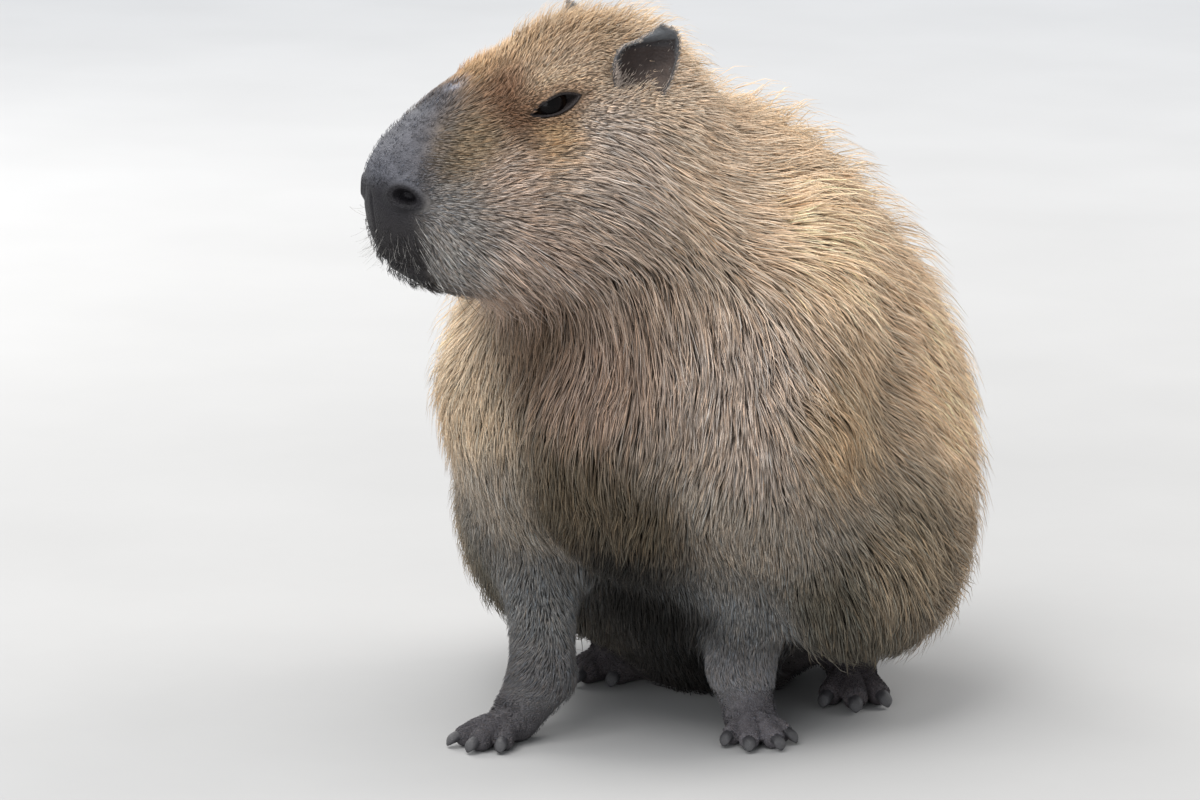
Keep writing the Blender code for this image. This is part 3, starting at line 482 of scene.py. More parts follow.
def coat_spots():
    """Places on the body, and the colour of the coat or the skin near them, some of it painted light and shade.
    """
    up = HEAD_UP
    spots = [
        (head_place(0, 0.015, 0.010), NOSE_BLUE),
        (head_place(0, 0.040, 0.045), NOSE_BLUE),
        (head_place(0, 0.064, 0.060), NOSE_BLUE),
        (head_place(0, 0.105, 0.082), OCHRE),
        (head_place(0, 0.150, 0.098), HONEY),
        (head_place(0, 0.210, 0.108), HONEY),
        (head_place(0, 0.275, 0.085), GOLD),
        (head_place(0, 0.060, -0.092), CHIN),
        (head_place(0, 0.120, -0.100), UMBER),
        (vec(0, 0.130, 0.51), GOLD),
        (vec(0, 0.230, 0.42), GOLD),
        (vec(0, 0.340, 0.30), GOLD),
        (vec(0, 0.370, 0.15), OCHRE),
        (vec(-0.047, -0.109, 0.379), THROAT),
        (vec(0.001, -0.116, 0.355), UMBER),
        (vec(-0.018, -0.113, 0.256), BROWN),
        (vec(-0.035, -0.085, 0.215), BROWN),
        (vec(0.035, -0.085, 0.215), BROWN),
        # painted shadow under the chest, between the forelegs and under the belly
        (vec(0.000, -0.065, 0.175), PAINTED_SHADOW),
        (vec(0.000, -0.030, 0.140), PAINTED_SHADOW),
        (vec(0, 0.060, 0.10), PAINTED_SHADOW),
        (vec(0, 0.110, 0.07), PAINTED_SHADOW),
        (vec(-0.060, 0.200, 0.03), PAINTED_SHADOW),
        (vec(0, 0.150, 0.03), PAINTED_SHADOW),
        # the right flank's golden coat, made paler as painted light
        (vec(-0.130, -0.087, 0.290), GOLD_LIT_SIDE),
        (vec(-0.150, -0.030, 0.350), GOLD_LIT_SIDE),
        (vec(0.113, -0.086, 0.350), BEIGE),
        (vec(0.130, -0.080, 0.270), BEIGE),
    ]
    for side in SIDES:
        elbow, wrist, palm, ball = elbow_of(side), wrist_of(side), palm_of(side), ball_of(side)
        # painted light on the left leg and foot, painted shade on the right ones
        leg_grey = LEG_LIGHT_SHADE[side] * vec(*LEG_GREY)
        wrist_grey, foot_dark = (FOOT_LIGHT_SHADE[side] * vec(*colour) for colour in (WRIST_GREY, FOOT_DARK))
        on_head, at = sided(side)
        spots += [
            (on_head(0.042, 0.026, 0.000), NOSE_BLUE),
            (on_head(0.036, 0.034, 0.032), NOSE_BLUE),
            (on_head(0.046, 0.062, 0.022), OLIVE),
            (on_head(0.048, 0.060, -0.022), MUZZLE),
            (on_head(0.050, 0.066, -0.056), JAW_GREY),
            (on_head(0.045, 0.084, 0.030), OLIVE),
            (on_head(0.047, 0.116, 0.049), RUST),
            (on_head(0.038, 0.116, 0.070), RUST),
            (on_head(0.054, 0.160, 0.090), CROWN),
            (on_head(0.058, 0.150, 0.032), OCHRE),
            (on_head(0.052, 0.152, 0.074), BROW_TAN),
            (on_head(0.072, 0.180, 0.030), TEMPLE),
            (on_head(0.054, 0.100, 0.002), TAUPE),
            (on_head(0.070, 0.170, -0.003), BEIGE),
            (on_head(0.055, 0.120, -0.065), TAUPE),
            (on_head(0.060, 0.250, 0.070), SAND),
            (on_head(0.077, 0.275, 0.012), SAND),
            (at(0.146, 0.024, 0.446), WHEAT),
            (at(0.192, 0.187, 0.305), WHEAT),
            (at(0.179, -0.020, 0.300), FAWN),
            # painted shade low on the flank, under the belly
            (at(0.162, 0.014, 0.130), LOW_FLANK_SHADE),
            (at(0.208, 0.069, 0.166), DRAB),
            # painted shade low on the flank, near the floor
            (at(0.152, 0.060, 0.085), LOW_FLANK_SHADE),
            (at(0.140, 0.095, 0.060), LOW_FLANK_SHADE),
            (at(0.170, 0.230, 0.100), FAWN),
            (at(0.130, 0.320, 0.110), OCHRE),
            # painted shadow between the legs
            (at(0.030, 0.050, 0.110), PAINTED_SHADOW),
            (at(0.025, -0.062, 0.146), PAINTED_SHADOW),
            (elbow + vec(0, -0.040, -0.02), ELBOW_GREY),
            ((elbow + wrist) / 2 + vec(0.01, -0.025, 0.01), leg_grey),
            ((elbow + wrist) / 2 + vec(-0.02, -0.010, 0.01), leg_grey),
            (at(0.104, -0.055, 0.250), ARM_GREY),
            (at(0.100, -0.020, 0.205), ARM_GREY),
            (wrist + 0.05 * up, leg_grey),
            (wrist, wrist_grey),
            (wrist + vec(0, -0.020, -0.012), wrist_grey),
            (palm, foot_dark),
            (palm + 0.04 * heading(FORE_TURN[side]), foot_dark),
            # painted shade on the hind feet, under the flanks
            (ball, HIND_DARK_SHADED),
            (ball + 0.04 * heading(HIND_TURN[side]), HIND_DARK_SHADED),
            (heel_of(side), HIND_DARK_SHADED),
        ]
    return np.array([spot[0] for spot in spots]), np.array([spot[1] for spot in spots])


GUIDES = coat_guides()
GUIDE_BLUR = 0.015
SPOTS = coat_spots()
SPOT_BLUR = 0.020


def shares(points, places, blur, power):
    """How much each place counts at some points, more the nearer it is."""
    square = ((points[:, None] - places[None]) ** 2).sum(-1)
    weight = 1.0 / (square + blur**2) ** power
    return weight / weight.sum(-1, keepdims=True)


def coat_at(points):
    """The way the coat lies and how deep it is near some points."""
    places, ways, depths = GUIDES
    weight = shares(points, places, GUIDE_BLUR, 2)
    return weight @ ways, weight @ depths


def tint_at(points):
    """The colour that the named spots give to some points."""
    places, colours = SPOTS
    return shares(points, places, SPOT_BLUR, 2.2) @ colours


def eye_place(points, side):
    """Places in an eye's own directions: out of the head, along the slit and across it."""
    left, back, up = in_head(points)
    out, back, up = side * left - EYE_PLACE[0], back - EYE_PLACE[1], up - EYE_PLACE[2]
    a = math.radians(LID_SLOPE)
    return out, back * math.cos(a) + up * math.sin(a), up * math.cos(a) - back * math.sin(a)


def by_eye(out):
    """Whether places are on an eye's own side of the head."""
    return (out > -0.012) & (out < 0.04)


def slit_distance(along, across):
    """Distance to the almond slit between the lids, negative inside it."""
    length, upper = LID_SLIT_HALF
    reach = []
    for height, flip in ((upper, 1.0), (0.8 * upper, -1.0)):
        radius = (length**2 + height**2) / (2 * height)
        reach.append(np.hypot(along, flip * across - (height - radius)) - radius)
    return np.maximum(*reach)


def nostril_gauge(points, side):
    """About 1 on the rim of a nostril, less inside it, and the depth in front of it."""
    centre = head_place(side * (NOSTRIL_PLACE[0] + 0.009), NOSTRIL_PLACE[1] - 0.009, NOSTRIL_PLACE[2])
    offset = points - centre
    out = (side * HEAD_LEFT + HEAD_FORWARD) / math.sqrt(2)
    along = (side * HEAD_LEFT - HEAD_FORWARD) / math.sqrt(2)
    a, b, depth = offset @ along, offset[..., 2], offset @ out
    # a comma: its outer end is lower and narrower
    b = b + 0.18 * a + 8.0 * a * a
    gauge = np.hypot(a / NOSTRIL_HALF[0], b / NOSTRIL_HALF[1])
    return np.where(np.abs(depth) < 0.03, gauge, 9.0)


def mix(colour, other, share):
    """Colours drawn towards another one by a share each."""
    return colour + (np.asarray(other) - colour) * share[:, None]


def markings(points):
    """Colour of the coat or skin at some points, and how bare the skin is."""
    colour = tint_at(points)
    left, back, up = in_head(points)
    near = ease(back, 0.30, 0.26) * ease(back, -0.05, -0.03) * ease(np.abs(left), 0.12, 0.10)
    limit = 0.040 + 0.58 * np.clip(up, 0.0, 0.06)
    snout = near * ease(back, limit + 0.014, limit - 0.014) * ease(up, -0.042, -0.018)
    bare = 0.85 * snout
    colour = mix(colour, NOSE_BLUE, 0.7 * snout)
    limit = 0.024 + 0.36 * np.clip(-up, 0.0, 0.09)
    front = near * ease(back, limit + 0.010, limit - 0.006) * ease(up, 0.008, -0.012)
    colour = mix(colour, BLACKISH, 0.95 * front)
    bare = np.maximum(bare, front * (0.95 - 0.25 * ease(up, -0.030, -0.060)))
    patch = length_of(points - head_place(*BRIDGE_PATCH))
    patch = ease(patch, 0.015, 0.004)
    colour = mix(colour, PATCH_PALE, 0.9 * patch)
    bare = np.maximum(bare, 0.9 * patch)
    for side in SIDES:
        gauge = nostril_gauge(points, side)
        ring = ease(gauge, 1.75, 1.15)
        colour = mix(colour, BLACKISH, ring)
        bare = np.maximum(bare, ring)
        out, along, across = eye_place(points, side)
        gap = slit_distance(along, across)
        ahead = (out > -0.01) & (out < 0.04)
        around = np.where(ahead, ease(gap, 0.012, 0.005), 0.0)
        colour = mix(colour, RUST, 0.5 * around)
        lids = np.where(ahead, ease(gap, 0.0030, 0.0018), 0.0)
        colour = mix(colour, BLACKISH, 0.97 * lids)
        bare = np.maximum(bare, lids)
    foot = np.zeros(len(points))
    for side in SIDES:
        for fore in (True, False):
            centre = palm_of(side) if fore else ball_of(side)
            reach = length_of((points - centre) * vec(1, 1, 1.6))
            foot = np.maximum(foot, ease(reach, 0.080, 0.050) * ease(points[:, 2], 0.062, 0.036))
        heel = length_of(points - heel_of(side))
        foot = np.maximum(foot, ease(heel, 0.05, 0.03))
    bare = np.maximum(bare, 0.62 * foot)
    return colour, bare


# Making of meshes

SHIFT = (np.array(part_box("eye_left")[0]) + np.array(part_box("eye_left")[1])) / 2 - side_place(1, EYE_PLACE)
FLOOR = 0.0005
BLOCK = 4


def new_object(name, points, loops, starts, material, attributes=(), flat_map=None):
    """One mesh object from arrays, moved from its own directions to the frame's."""
    mesh = bpy.data.meshes.new(name)
    mesh.vertices.add(len(points))
    mesh.loops.add(len(loops))
    mesh.polygons.add(len(starts))
    mesh.vertices.foreach_set("co", (points + SHIFT).astype(np.float32).ravel())
    mesh.loops.foreach_set("vertex_index", np.asarray(loops, np.int32))
    mesh.polygons.foreach_set("loop_start", np.asarray(starts, np.int32))
    mesh.update(calc_edges=True)
    mesh.polygons.foreach_set("use_smooth", np.ones(len(starts), bool))
    for label, values in attributes:
        if np.ndim(values) == 2:
            layer = mesh.color_attributes.new(name=label, type="FLOAT_COLOR", domain="POINT")
            full = np.concatenate([values, np.ones((len(values), 1))], 1)
            layer.data.foreach_set("color", full.astype(np.float32).ravel())
        else:
            layer = mesh.attributes.new(name=label, type="FLOAT", domain="POINT")
            layer.data.foreach_set("value", np.asarray(values, np.float32))
    if flat_map is not None:
        layer = mesh.uv_layers.new(name="OFBake")
        layer.uv.foreach_set("vector", flat_map.astype(np.float32).ravel())
    mesh.materials.append(material)
    item = bpy.data.objects.new(name, mesh)
    bpy.context.scene.collection.objects.link(item)
    return item


def faces_object(name, points, faces, material, attributes=()):
    """One mesh object from a list of faces of any sizes."""
    loops = [corner for face in faces for corner in face]
    starts = np.cumsum([0] + [len(face) for face in faces])[:-1]
    return new_object(name, np.asarray(points), loops, starts, material, attributes)


def surface(low, high, step):
    """Closed mesh of the skin inside a box, by surface nets, as triangles."""
    axes = [np.arange(a, b + step, step) for a, b in zip(low, high)]
    value = sample(axes, step)
    inside = value < 0
    shape = value.shape
    names, places, quads = [], [], []
    for axis in range(3):
        ahead = [slice(None)] * 3
        behind = [slice(None)] * 3
        ahead[axis], behind[axis] = slice(1, None), slice(None, -1)
        at = np.argwhere(inside[tuple(behind)] != inside[tuple(ahead)])
        beyond = at.copy()
        beyond[:, axis] += 1
        a, b = value[tuple(at.T)], value[tuple(beyond.T)]
        place = np.array(low) + at * step
        place[:, axis] += a / (a - b) * step
        u, v = (axis + 1) % 3, (axis + 2) % 3
        corners = []
        for du, dv in ((-1, -1), (0, -1), (0, 0), (-1, 0)):
            cell = at.copy()
            cell[:, u] += du
            cell[:, v] += dv
            corners.append(np.ravel_multi_index(cell.T, shape))
        quad = np.stack(corners, -1)
        names.append(quad.ravel())
        places.append(np.repeat(place, 4, axis=0))
        outward = inside[tuple(at.T)]
        quad[~outward] = quad[~outward][:, ::-1]
        quads.append(quad)
    cells, index = np.unique(np.concatenate(names), return_inverse=True)
    places = np.concatenate(places)
    count = np.bincount(index)
    points = np.stack([np.bincount(index, places[:, k]) / count for k in range(3)], -1)
    return points, halved(points, np.searchsorted(cells, np.concatenate(quads)))


def sample(axes, step):
    """Distances on a grid: exact near the skin, and one value for each block elsewhere."""
    sizes = [len(axis) for axis in axes]
    middles = [
        axis[0] + step * (np.arange(0, size, BLOCK) + (BLOCK - 1) / 2) for axis, size in zip(axes, sizes)
    ]
    value = body_field(np.stack(np.meshgrid(*middles, indexing="ij"), -1))
    for k in range(3):
        value = np.repeat(value, BLOCK, axis=k)
    value = value[: sizes[0], : sizes[1], : sizes[2]].copy()
    near = np.abs(value) < BLOCK * step * 1.8
    at = np.argwhere(near)
    value[near] = body_field(np.stack([axes[k][at[:, k]] for k in range(3)], -1))
    return value


def halved(points, quads):
    """Quads cut along their shorter diagonals."""
    first = length_of(points[quads[:, 0]] - points[quads[:, 2]])
    second = length_of(points[quads[:, 1]] - points[quads[:, 3]])
    turn = first > second
    quads = np.where(turn[:, None], np.roll(quads, -1, axis=1), quads)
    return np.concatenate([quads[:, [0, 1, 2]], quads[:, [0, 2, 3]]])


def refine(points, faces, chosen):
    """Splits every edge with both ends chosen, and the triangles beside it."""
    edges = np.sort(faces[:, [[0, 1], [1, 2], [2, 0]]], axis=-1).reshape(-1, 2)
    code = edges[:, 0].astype(np.int64) * len(points) + edges[:, 1]
    unique, index = np.unique(code, return_inverse=True)
    ends = np.stack([unique // len(points), unique % len(points)], -1)
    split = chosen[ends].all(-1)
    fresh = np.full(len(unique), -1)
    fresh[split] = len(points) + np.arange(split.sum())
    middles = points[ends[split]].mean(1)
    mid = fresh[index].reshape(-1, 3)
    number = (mid >= 0).sum(-1)
    made = [faces[number == 0]]
    whole, m = faces[number == 3], mid[number == 3]
    made += [
        np.stack([whole[:, 0], m[:, 0], m[:, 2]], -1),
        np.stack([m[:, 0], whole[:, 1], m[:, 1]], -1),
        np.stack([m[:, 2], m[:, 1], whole[:, 2]], -1),
        m,
    ]
    for k in range(3):
        # one split edge, between corners k and k + 1
        pick = (number == 1) & (mid[:, k] >= 0)
        a, b, c = (faces[pick][:, (k + j) % 3] for j in range(3))
        m = mid[pick][:, k]
        made += [np.stack([a, m, c], -1), np.stack([m, b, c], -1)]
        # two split edges, all but the one between corners k and k + 1
        pick = (number == 2) & (mid[:, k] < 0)
        a, b, c = (faces[pick][:, (k + j) % 3] for j in range(3))
        m, n = mid[pick][:, (k + 1) % 3], mid[pick][:, (k + 2) % 3]
        made += [np.stack([c, n, m], -1), np.stack([a, b, m], -1), np.stack([a, m, n], -1)]
    return np.concatenate([points, middles]), np.concatenate(made)


# Flat map of the skin: round charts about the middles of the head, the trunk and each foot

TRUNK_MIDDLE = vec(0.0, 0.150, 0.240)
HEAD_MIDDLE = head_place(0, 0.150, 0.0)
CHARTS = (
    (0.01, 0.38, 0.98, 0.60), (0.01, 0.01, 0.50, 0.35),
    (0.53, 0.01, 0.22, 0.16), (0.77, 0.01, 0.22, 0.16), (0.53, 0.19, 0.22, 0.16), (0.77, 0.19, 0.22, 0.16),
)


def chart_middles():
    """Trunk, head, forefeet and hind feet."""
    middles = [TRUNK_MIDDLE, HEAD_MIDDLE]
    middles += [palm_of(side) + vec(0, 0, 0.03) for side in SIDES]
    middles += [ball_of(side) - 0.05 * heading(HIND_TURN[side]) for side in SIDES]
    return middles


def chart_of(points):
    """Which chart of the flat map a point of the skin is on."""
    chart = np.zeros(len(points), int)
    left, back, _ = in_head(points)
    chart[(back < 0.235) & (np.abs(left) < 0.12) & (points[:, 2] > 0.37)] = 1
    for k, side in enumerate(SIDES):
        fore = length_of((points - palm_of(side))[:, :2])
        chart[(fore < 0.085) & (points[:, 2] < 0.11)] = 2 + k
        hind = limb(points, *sole_of(side), 0.034, 0.034)
        chart[(hind < 0) & (points[:, 2] < 0.05)] = 4 + k
    return chart


def chart_places(points, chart):
    """Places on the flat map, from the directions about each chart's middle."""
    middles = np.array(chart_middles())[chart]
    frames = np.array(CHARTS)[chart]
    way = unit(points - middles)
    across = np.arctan2(way[:, 0], way[:, 1]) / (2 * math.pi) + 0.5
    height = np.arcsin(np.clip(way[:, 2], -1, 1)) / math.pi + 0.5
    return np.stack([frames[:, 0] + across * frames[:, 2], frames[:, 1] + height * frames[:, 3]], -1)


def skin_map(points, faces):
    """Flat map of each corner of the skin's triangles, with no triangle across a chart's side."""
    chart = chart_of(points[faces].mean(1))
    flat = chart_places(points[faces].reshape(-1, 3), np.repeat(chart, 3)).reshape(-1, 3, 2)
    width = np.array(CHARTS)[chart][:, 2]
    wide = flat[..., 0].max(1) - flat[..., 0].min(1) > width / 2
    low = flat[..., 0] < (np.array(CHARTS)[chart][:, 0] + width / 2)[:, None]
    flat[..., 0] += np.where(wide[:, None] & low, width[:, None], 0.0)
    return flat.reshape(-1, 2)


# Materials: expressions on sockets add their nodes

class Socket:
    """A value in a shader tree; arithmetic on it adds Math nodes."""

    def __init__(self, tree, link):
        self.tree, self.link = tree, link

    def math(self, operation, first, second):
        return self.tree.node("ShaderNodeMath", {"operation": operation}, {0: first, 1: second})

    def __add__(self, other):
        return self.math("ADD", self, other)

    __radd__ = __add__

    def __mul__(self, other):
        return self.math("MULTIPLY", self, other)

    __rmul__ = __mul__

    def __sub__(self, other):
        return self.math("SUBTRACT", self, other)

    def __rsub__(self, other):
        return self.math("SUBTRACT", other, self)


class Shader:
    """A material whose nodes are added by one method."""

    def __init__(self, name, **constants):
        self.material = bpy.data.materials.new(name)
        self.material.use_nodes = True
        self.nodes = self.material.node_tree.nodes
        self.surface = self.nodes["Principled BSDF"]
        for label, value in constants.items():
            self.surface.inputs[label.replace("_", " ").title().replace("Ior", "IOR")].default_value = value

    def node(self, kind, settings=None, inputs=None, output=0):
        made = self.nodes.new(kind)
        settings = dict(settings or {})
        stops = settings.pop("stops", None)
        for label, value in settings.items():
            setattr(made, label, value)
        if stops:
            elements = made.color_ramp.elements
            for element, (place, colour) in ((elements[0], stops[0]), (elements[-1], stops[-1])):
                element.position, element.color = place, (*colour, 1.0)
            for place, colour in stops[1:-1]:
                elements.new(place).color = (*colour, 1.0)
        for label, value in (inputs or {}).items():
            self.put(made.inputs[label], value)
        return Socket(self, made.outputs[output])

    def put(self, socket, value):
        if isinstance(value, Socket):
            self.material.node_tree.links.new(value.link, socket)
        else:
            socket.default_value = value

    def attribute(self, name, output="Color"):
        return self.node("ShaderNodeAttribute", {"attribute_name": name}, output=output)

    def noise(self, scale, detail=3.0, rough=0.5, stretch=(1.0, 1.0, 1.0)):
        place = self.node("ShaderNodeTexCoord", output="Object")
        place = self.node("ShaderNodeMapping", {}, {"Vector": place, "Scale": stretch})
        inputs = {"Vector": place, "Scale": scale, "Detail": detail, "Roughness": rough}
        return self.node("ShaderNodeTexNoise", {}, inputs)

    def mottle(self, dark, pale, *noise, edges=(0.3, 0.7)):
        """Grey that wanders between a dark and a pale tone."""
        return self.ramp(self.noise(*noise), ((edges[0], grey(dark)), (edges[1], grey(pale))))

    def cells(self, scale):
        place = self.node("ShaderNodeTexCoord", output="Object")
        return self.node("ShaderNodeTexVoronoi", {}, {"Vector": place, "Scale": scale})

    def ramp(self, value, stops):
        return self.node("ShaderNodeValToRGB", {"stops": stops}, {"Fac": value})

    def multiply(self, first, second):
        settings = {"data_type": "RGBA", "blend_type": "MULTIPLY"}
        return self.node("ShaderNodeMix", settings, {0: 1.0, 6: first, 7: second}, output=2)

    def bump(self, height, distance):
        return self.node("ShaderNodeBump", {}, {"Height": height, "Distance": distance})

    def finish(self, **links):
        for label, value in links.items():
            self.put(self.surface.inputs[label.replace("_", " ").title()], value)
        return self.material


def grey(value):
    """A grey colour."""
    return (value, value, value)


def skin_finish():
    """Fine dark leather where the skin is bare, and dull hair roots elsewhere."""
    shader = Shader("skin_finish", specular_ior_level=0.16)
    tint, bare = shader.attribute("Tint"), shader.attribute("Bare", "Fac")
    mottle = shader.mottle(0.72, 1.12, 90.0, 4.0, 0.6)
    pores = shader.cells(620.0)
    pits = shader.ramp(pores, ((0.0, grey(0.70)), (0.5, grey(1.05))))
    colour = shader.multiply(shader.multiply(tint, mottle), pits)
    height = pores * 0.6 + shader.noise(260.0, 5.0, 0.65) * 0.8
    return shader.finish(
        base_color=colour,
        roughness=0.72 - bare * 0.26 + shader.noise(150.0) * 0.08,
        normal=shader.bump(height * (0.35 + bare * 0.65), 0.0012),
    )


def coat_finish():
    """Coarse dry hair whose colour comes from each hair's own marking and from painted light and shade."""
    shader = Shader("coat_finish", specular_ior_level=0.32)
    tint = shader.attribute("Tint")
    streak = shader.mottle(0.88, 1.10, 420.0, 2.0)
    return shader.finish(base_color=shader.multiply(tint, streak), roughness=0.52 + shader.noise(160.0) * 0.16)


# pupil, iris, its dark edge and the white, by their distance from the eye's axis
EYE_RINGS = (
    (0.0, (0.002, 0.002, 0.002)), (0.40, (0.003, 0.002, 0.002)), (0.52, (0.010, 0.006, 0.004)),
    (0.74, (0.008, 0.005, 0.004)), (0.80, (0.003, 0.003, 0.003)), (1.0, (0.008, 0.007, 0.007)),
)


def eye_finish():
    """Wet eye: a dark brown iris about a black pupil, by the distance from the eye's axis."""
    shader = Shader("eye_finish", specular_ior_level=0.05, coat_weight=0.05, coat_roughness=0.02)
    off_axis = shader.attribute("Off", "Fac")
    colour = shader.ramp(off_axis, EYE_RINGS)
    fibres = shader.mottle(0.7, 1.3, 900.0, 3.0)
    return shader.finish(base_color=shader.multiply(colour, fibres), roughness=0.16 + off_axis * 0.08)


def ear_finish():
    """Dark thin leather, greyer at the rim, with faint ridges."""
    shader = Shader("ear_finish", specular_ior_level=0.28)
    tint = shader.attribute("Tint")
    mottle = shader.mottle(0.7, 1.15, 140.0, 4.0, 0.6)
    height = shader.noise(300.0, 4.0, 0.6) + shader.cells(500.0) * 0.5
    return shader.finish(
        base_color=shader.multiply(tint, mottle),
        roughness=0.50 + shader.noise(120.0) * 0.15,
        normal=shader.bump(height, 0.0008),
    )


def claw_finish():
    """Dull blue-grey horn with fine ridges, paler and worn at the tip."""
    shader = Shader("claw_finish", specular_ior_level=0.5)
    tip = shader.attribute("Tip", "Fac")
    tones = ((0.0, (0.020, 0.019, 0.021)), (0.7, (0.030, 0.029, 0.033)), (1.0, (0.050, 0.049, 0.052)))
    horn = shader.ramp(tip, tones)
    wear = shader.mottle(0.75, 1.15, 600.0, 4.0, 0.7, edges=(0.35, 0.65))
    return shader.finish(
        base_color=shader.multiply(horn, wear),
        roughness=0.36 + shader.noise(400.0) * 0.22,
        normal=shader.bump(shader.noise(700.0, 3.0, 0.6, (1.0, 1.0, 3.0)), 0.0006),
    )


def bristle_finish():
    """Stiff pale hair."""
    shader = Shader("bristle_finish", specular_ior_level=0.4)
    pale = shader.ramp(shader.noise(60.0), ((0.3, (0.13, 0.125, 0.12)), (0.7, (0.40, 0.385, 0.36))))
    return shader.finish(base_color=pale, roughness=0.45 + shader.noise(200.0) * 0.1)


def floor_finish():
    """Matt pale floor, paler where less of the light falls on it."""
    shader = Shader("floor_finish", specular_ior_level=0.15)
    place = shader.node("ShaderNodeTexCoord", output="Object")
    away = shader.node("ShaderNodeVectorMath", {"operation": "LENGTH"}, {0: place}, output="Value")
    tones = ((0.04, grey(0.36)), (0.22, grey(0.38)), (0.45, grey(0.50)), (0.95, grey(0.85)))
    tone = shader.ramp(away * 0.2, tones)
    grain = shader.mottle(0.97, 1.02, 3.0, 4.0)
    return shader.finish(base_color=shader.multiply(tone, grain), roughness=0.8 + shader.noise(40.0) * 0.08)


def material(maker):
    """The material of one of the makers above, made once."""
    return bpy.data.materials.get(maker.__name__) or maker()


# The skin

FLESH = ["head", "neck", "torso"]
LIMBS = ("thigh", "foreleg", "forefoot", "hindfoot")
FLESH += [part + "_" + name for name in SIDE_NAMES.values() for part in LIMBS]
SKIN_LOW = (-0.300, -0.340, -0.040)
SKIN_HIGH = (0.300, 0.480, 0.700)
SKIN_STEP = 0.0072
MOUTH_DEPTH = 0.0030
TOE_CREASES = (0.46, 0.58, 0.70)
CLEFT_DEPTH = 0.0036
LIP_HALF = 0.0022
# painted shade on the skin under the hair
ROOT_SHADE = 0.55
# how near an eye's slit, a nostril and a toe the net is halved, at each level
EYE_NET = (0.05, 0.022, 0.010, 0.006)
NOSTRIL_NET = (4.0, 2.6, 1.7, 1.4)
TOE_NET = (0.02, 0.0)


def regions(points, level):
    """Where the skin's net is halved: the head and feet, then the muzzle, eyes and toes, then their edges."""
    left, back, up = in_head(points)
    on_head = (back < 0.25) & (np.abs(left) < 0.11) & (up > -0.13) & (back > -0.05)
    if level == 1:
        chosen = on_head.copy()
    else:
        chosen = on_head & (back < (0.075 if level == 2 else -1.0))
    for side in SIDES:
        out, along, across = eye_place(points, side)
        gap = slit_distance(along, across)
        chosen |= by_eye(out) & (gap < EYE_NET[level - 1])
        chosen |= on_head & (nostril_gauge(points, side) < NOSTRIL_NET[level - 1])
    if level <= len(TOE_NET):
        for side, fore in FEET:
            for root, tip, _ in toes_of(side, fore):
                chosen |= limb(points, root, tip, 0.02, 0.02) < TOE_NET[level - 1]
    lip = on_head & (back < MOUTH_BACK + 0.004) & (np.abs(up - mouth_level(back)) < 0.0055)
    return chosen | (lip & (level < 4))


def mouth_level(back):
    """Height of the line of the mouth, which drops a little at its corners."""
    return MOUTH_LEVEL - 0.004 * ease(back, 0.016, MOUTH_BACK)


def shape_eyes(points):
    """Lids that bulge over each eye, a slit between them, and the folds around."""
    for side in SIDES:
        out, along, across = eye_place(points, side)
        near = by_eye(out)
        gap = slit_distance(along, across)
        reach = along**2 + across**2
        lid = np.sqrt(np.maximum((EYE_RADIUS + 0.0016) ** 2 - reach, 0.0))
        bulge = np.where(near & (reach < 0.017**2), -join(-out, -lid, 0.003) - out, 0.0)
        move = np.maximum(bulge, 0.0) * ease(np.sqrt(reach), 0.0175, 0.0140)
        move += 0.0008 * hump(gap, 0.0011, 0.0009)
        upper = ease(across, -0.001, 0.002)
        move -= (0.0006 + 0.0008 * upper) * hump(gap - 0.0056 - 0.001 * upper, 0.0, 0.0011)
        move += 0.0005 * hump(gap, 0.0085, 0.0016)
        move -= 0.0095 * ease(gap, 0.0002, -0.0011)
        points = points + np.where(near & (gap < 0.02), move, 0.0)[:, None] * side * HEAD_LEFT
    return points


def shape_muzzle(points):
    """Pits of the nostrils with raised rims, the line of the mouth, the cleft of the lip, the bridge."""
    left, back, up = in_head(points)
    normal = unit(gradient(points))
    move = np.zeros(len(points))
    for side in SIDES:
        gauge = nostril_gauge(points, side)
        move -= 0.013 * ease(gauge, 1.02, 0.70)
        move += 0.0009 * hump(gauge, 1.32, 0.20)
        fold = hump(gauge, 2.1, 0.25) * ease(up, 0.004, -0.004)
        move -= 0.0007 * fold
    ahead = ease(back, MOUTH_BACK + 0.006, MOUTH_BACK - 0.008) * (back > -0.03)
    rise = up - mouth_level(back)
    move -= MOUTH_DEPTH * hump(rise, 0.0, 0.0011) * ahead
    move += 0.0011 * hump(np.abs(rise), 0.0042, LIP_HALF) * ahead
    over_lip = ease(up, MOUTH_LEVEL - 0.001, MOUTH_LEVEL + 0.004)
    cleft = ease(back, 0.030, 0.018) * over_lip * ease(up, -0.008, -0.020)
    move -= 0.0016 * hump(left, 0.0, 0.0015) * cleft
    bridge = length_of(points - head_place(*BRIDGE_PATCH))
    move += 0.0005 * ease(bridge, 0.019, 0.005)
    return points + move[:, None] * normal


def shape_feet(points):
    """Folds across the toes and between the pads."""
    move = np.zeros(len(points))
    for side, fore in FEET:
        for root, tip, way in toes_of(side, fore):
            length = np.linalg.norm((tip - root)[:2])
            along = (points - root) @ way
            on_toe = limb(points, root, tip, 0.016, 0.011) < 0.004
            for share in TOE_CREASES:
                crease = hump(along, share * length, 0.0014)
                move -= np.where(on_toe & (points[:, 2] > 0.006), 0.0009 * crease, 0.0)
    # clefts between the toes
    normal = unit(gradient(points))
    for side, fore in FEET:
        toes = toes_of(side, fore)
        apart = [limb(points, root, tip, 0.015, 0.0095) for root, tip, _ in toes]
        root, ahead = toes[0][0], heading(FORE_TURN[side] if fore else HIND_TURN[side])
        forward = ease((points - root) @ ahead, 0.004, 0.020) * (np.minimum.reduce(apart) < 0.006)
        for a, b in zip(apart[:-1], apart[1:]):
            move -= CLEFT_DEPTH * hump(a, b, 0.0030) * forward * ease(np.minimum(a, b), -0.006, -0.001)
    return points + move[:, None] * normal


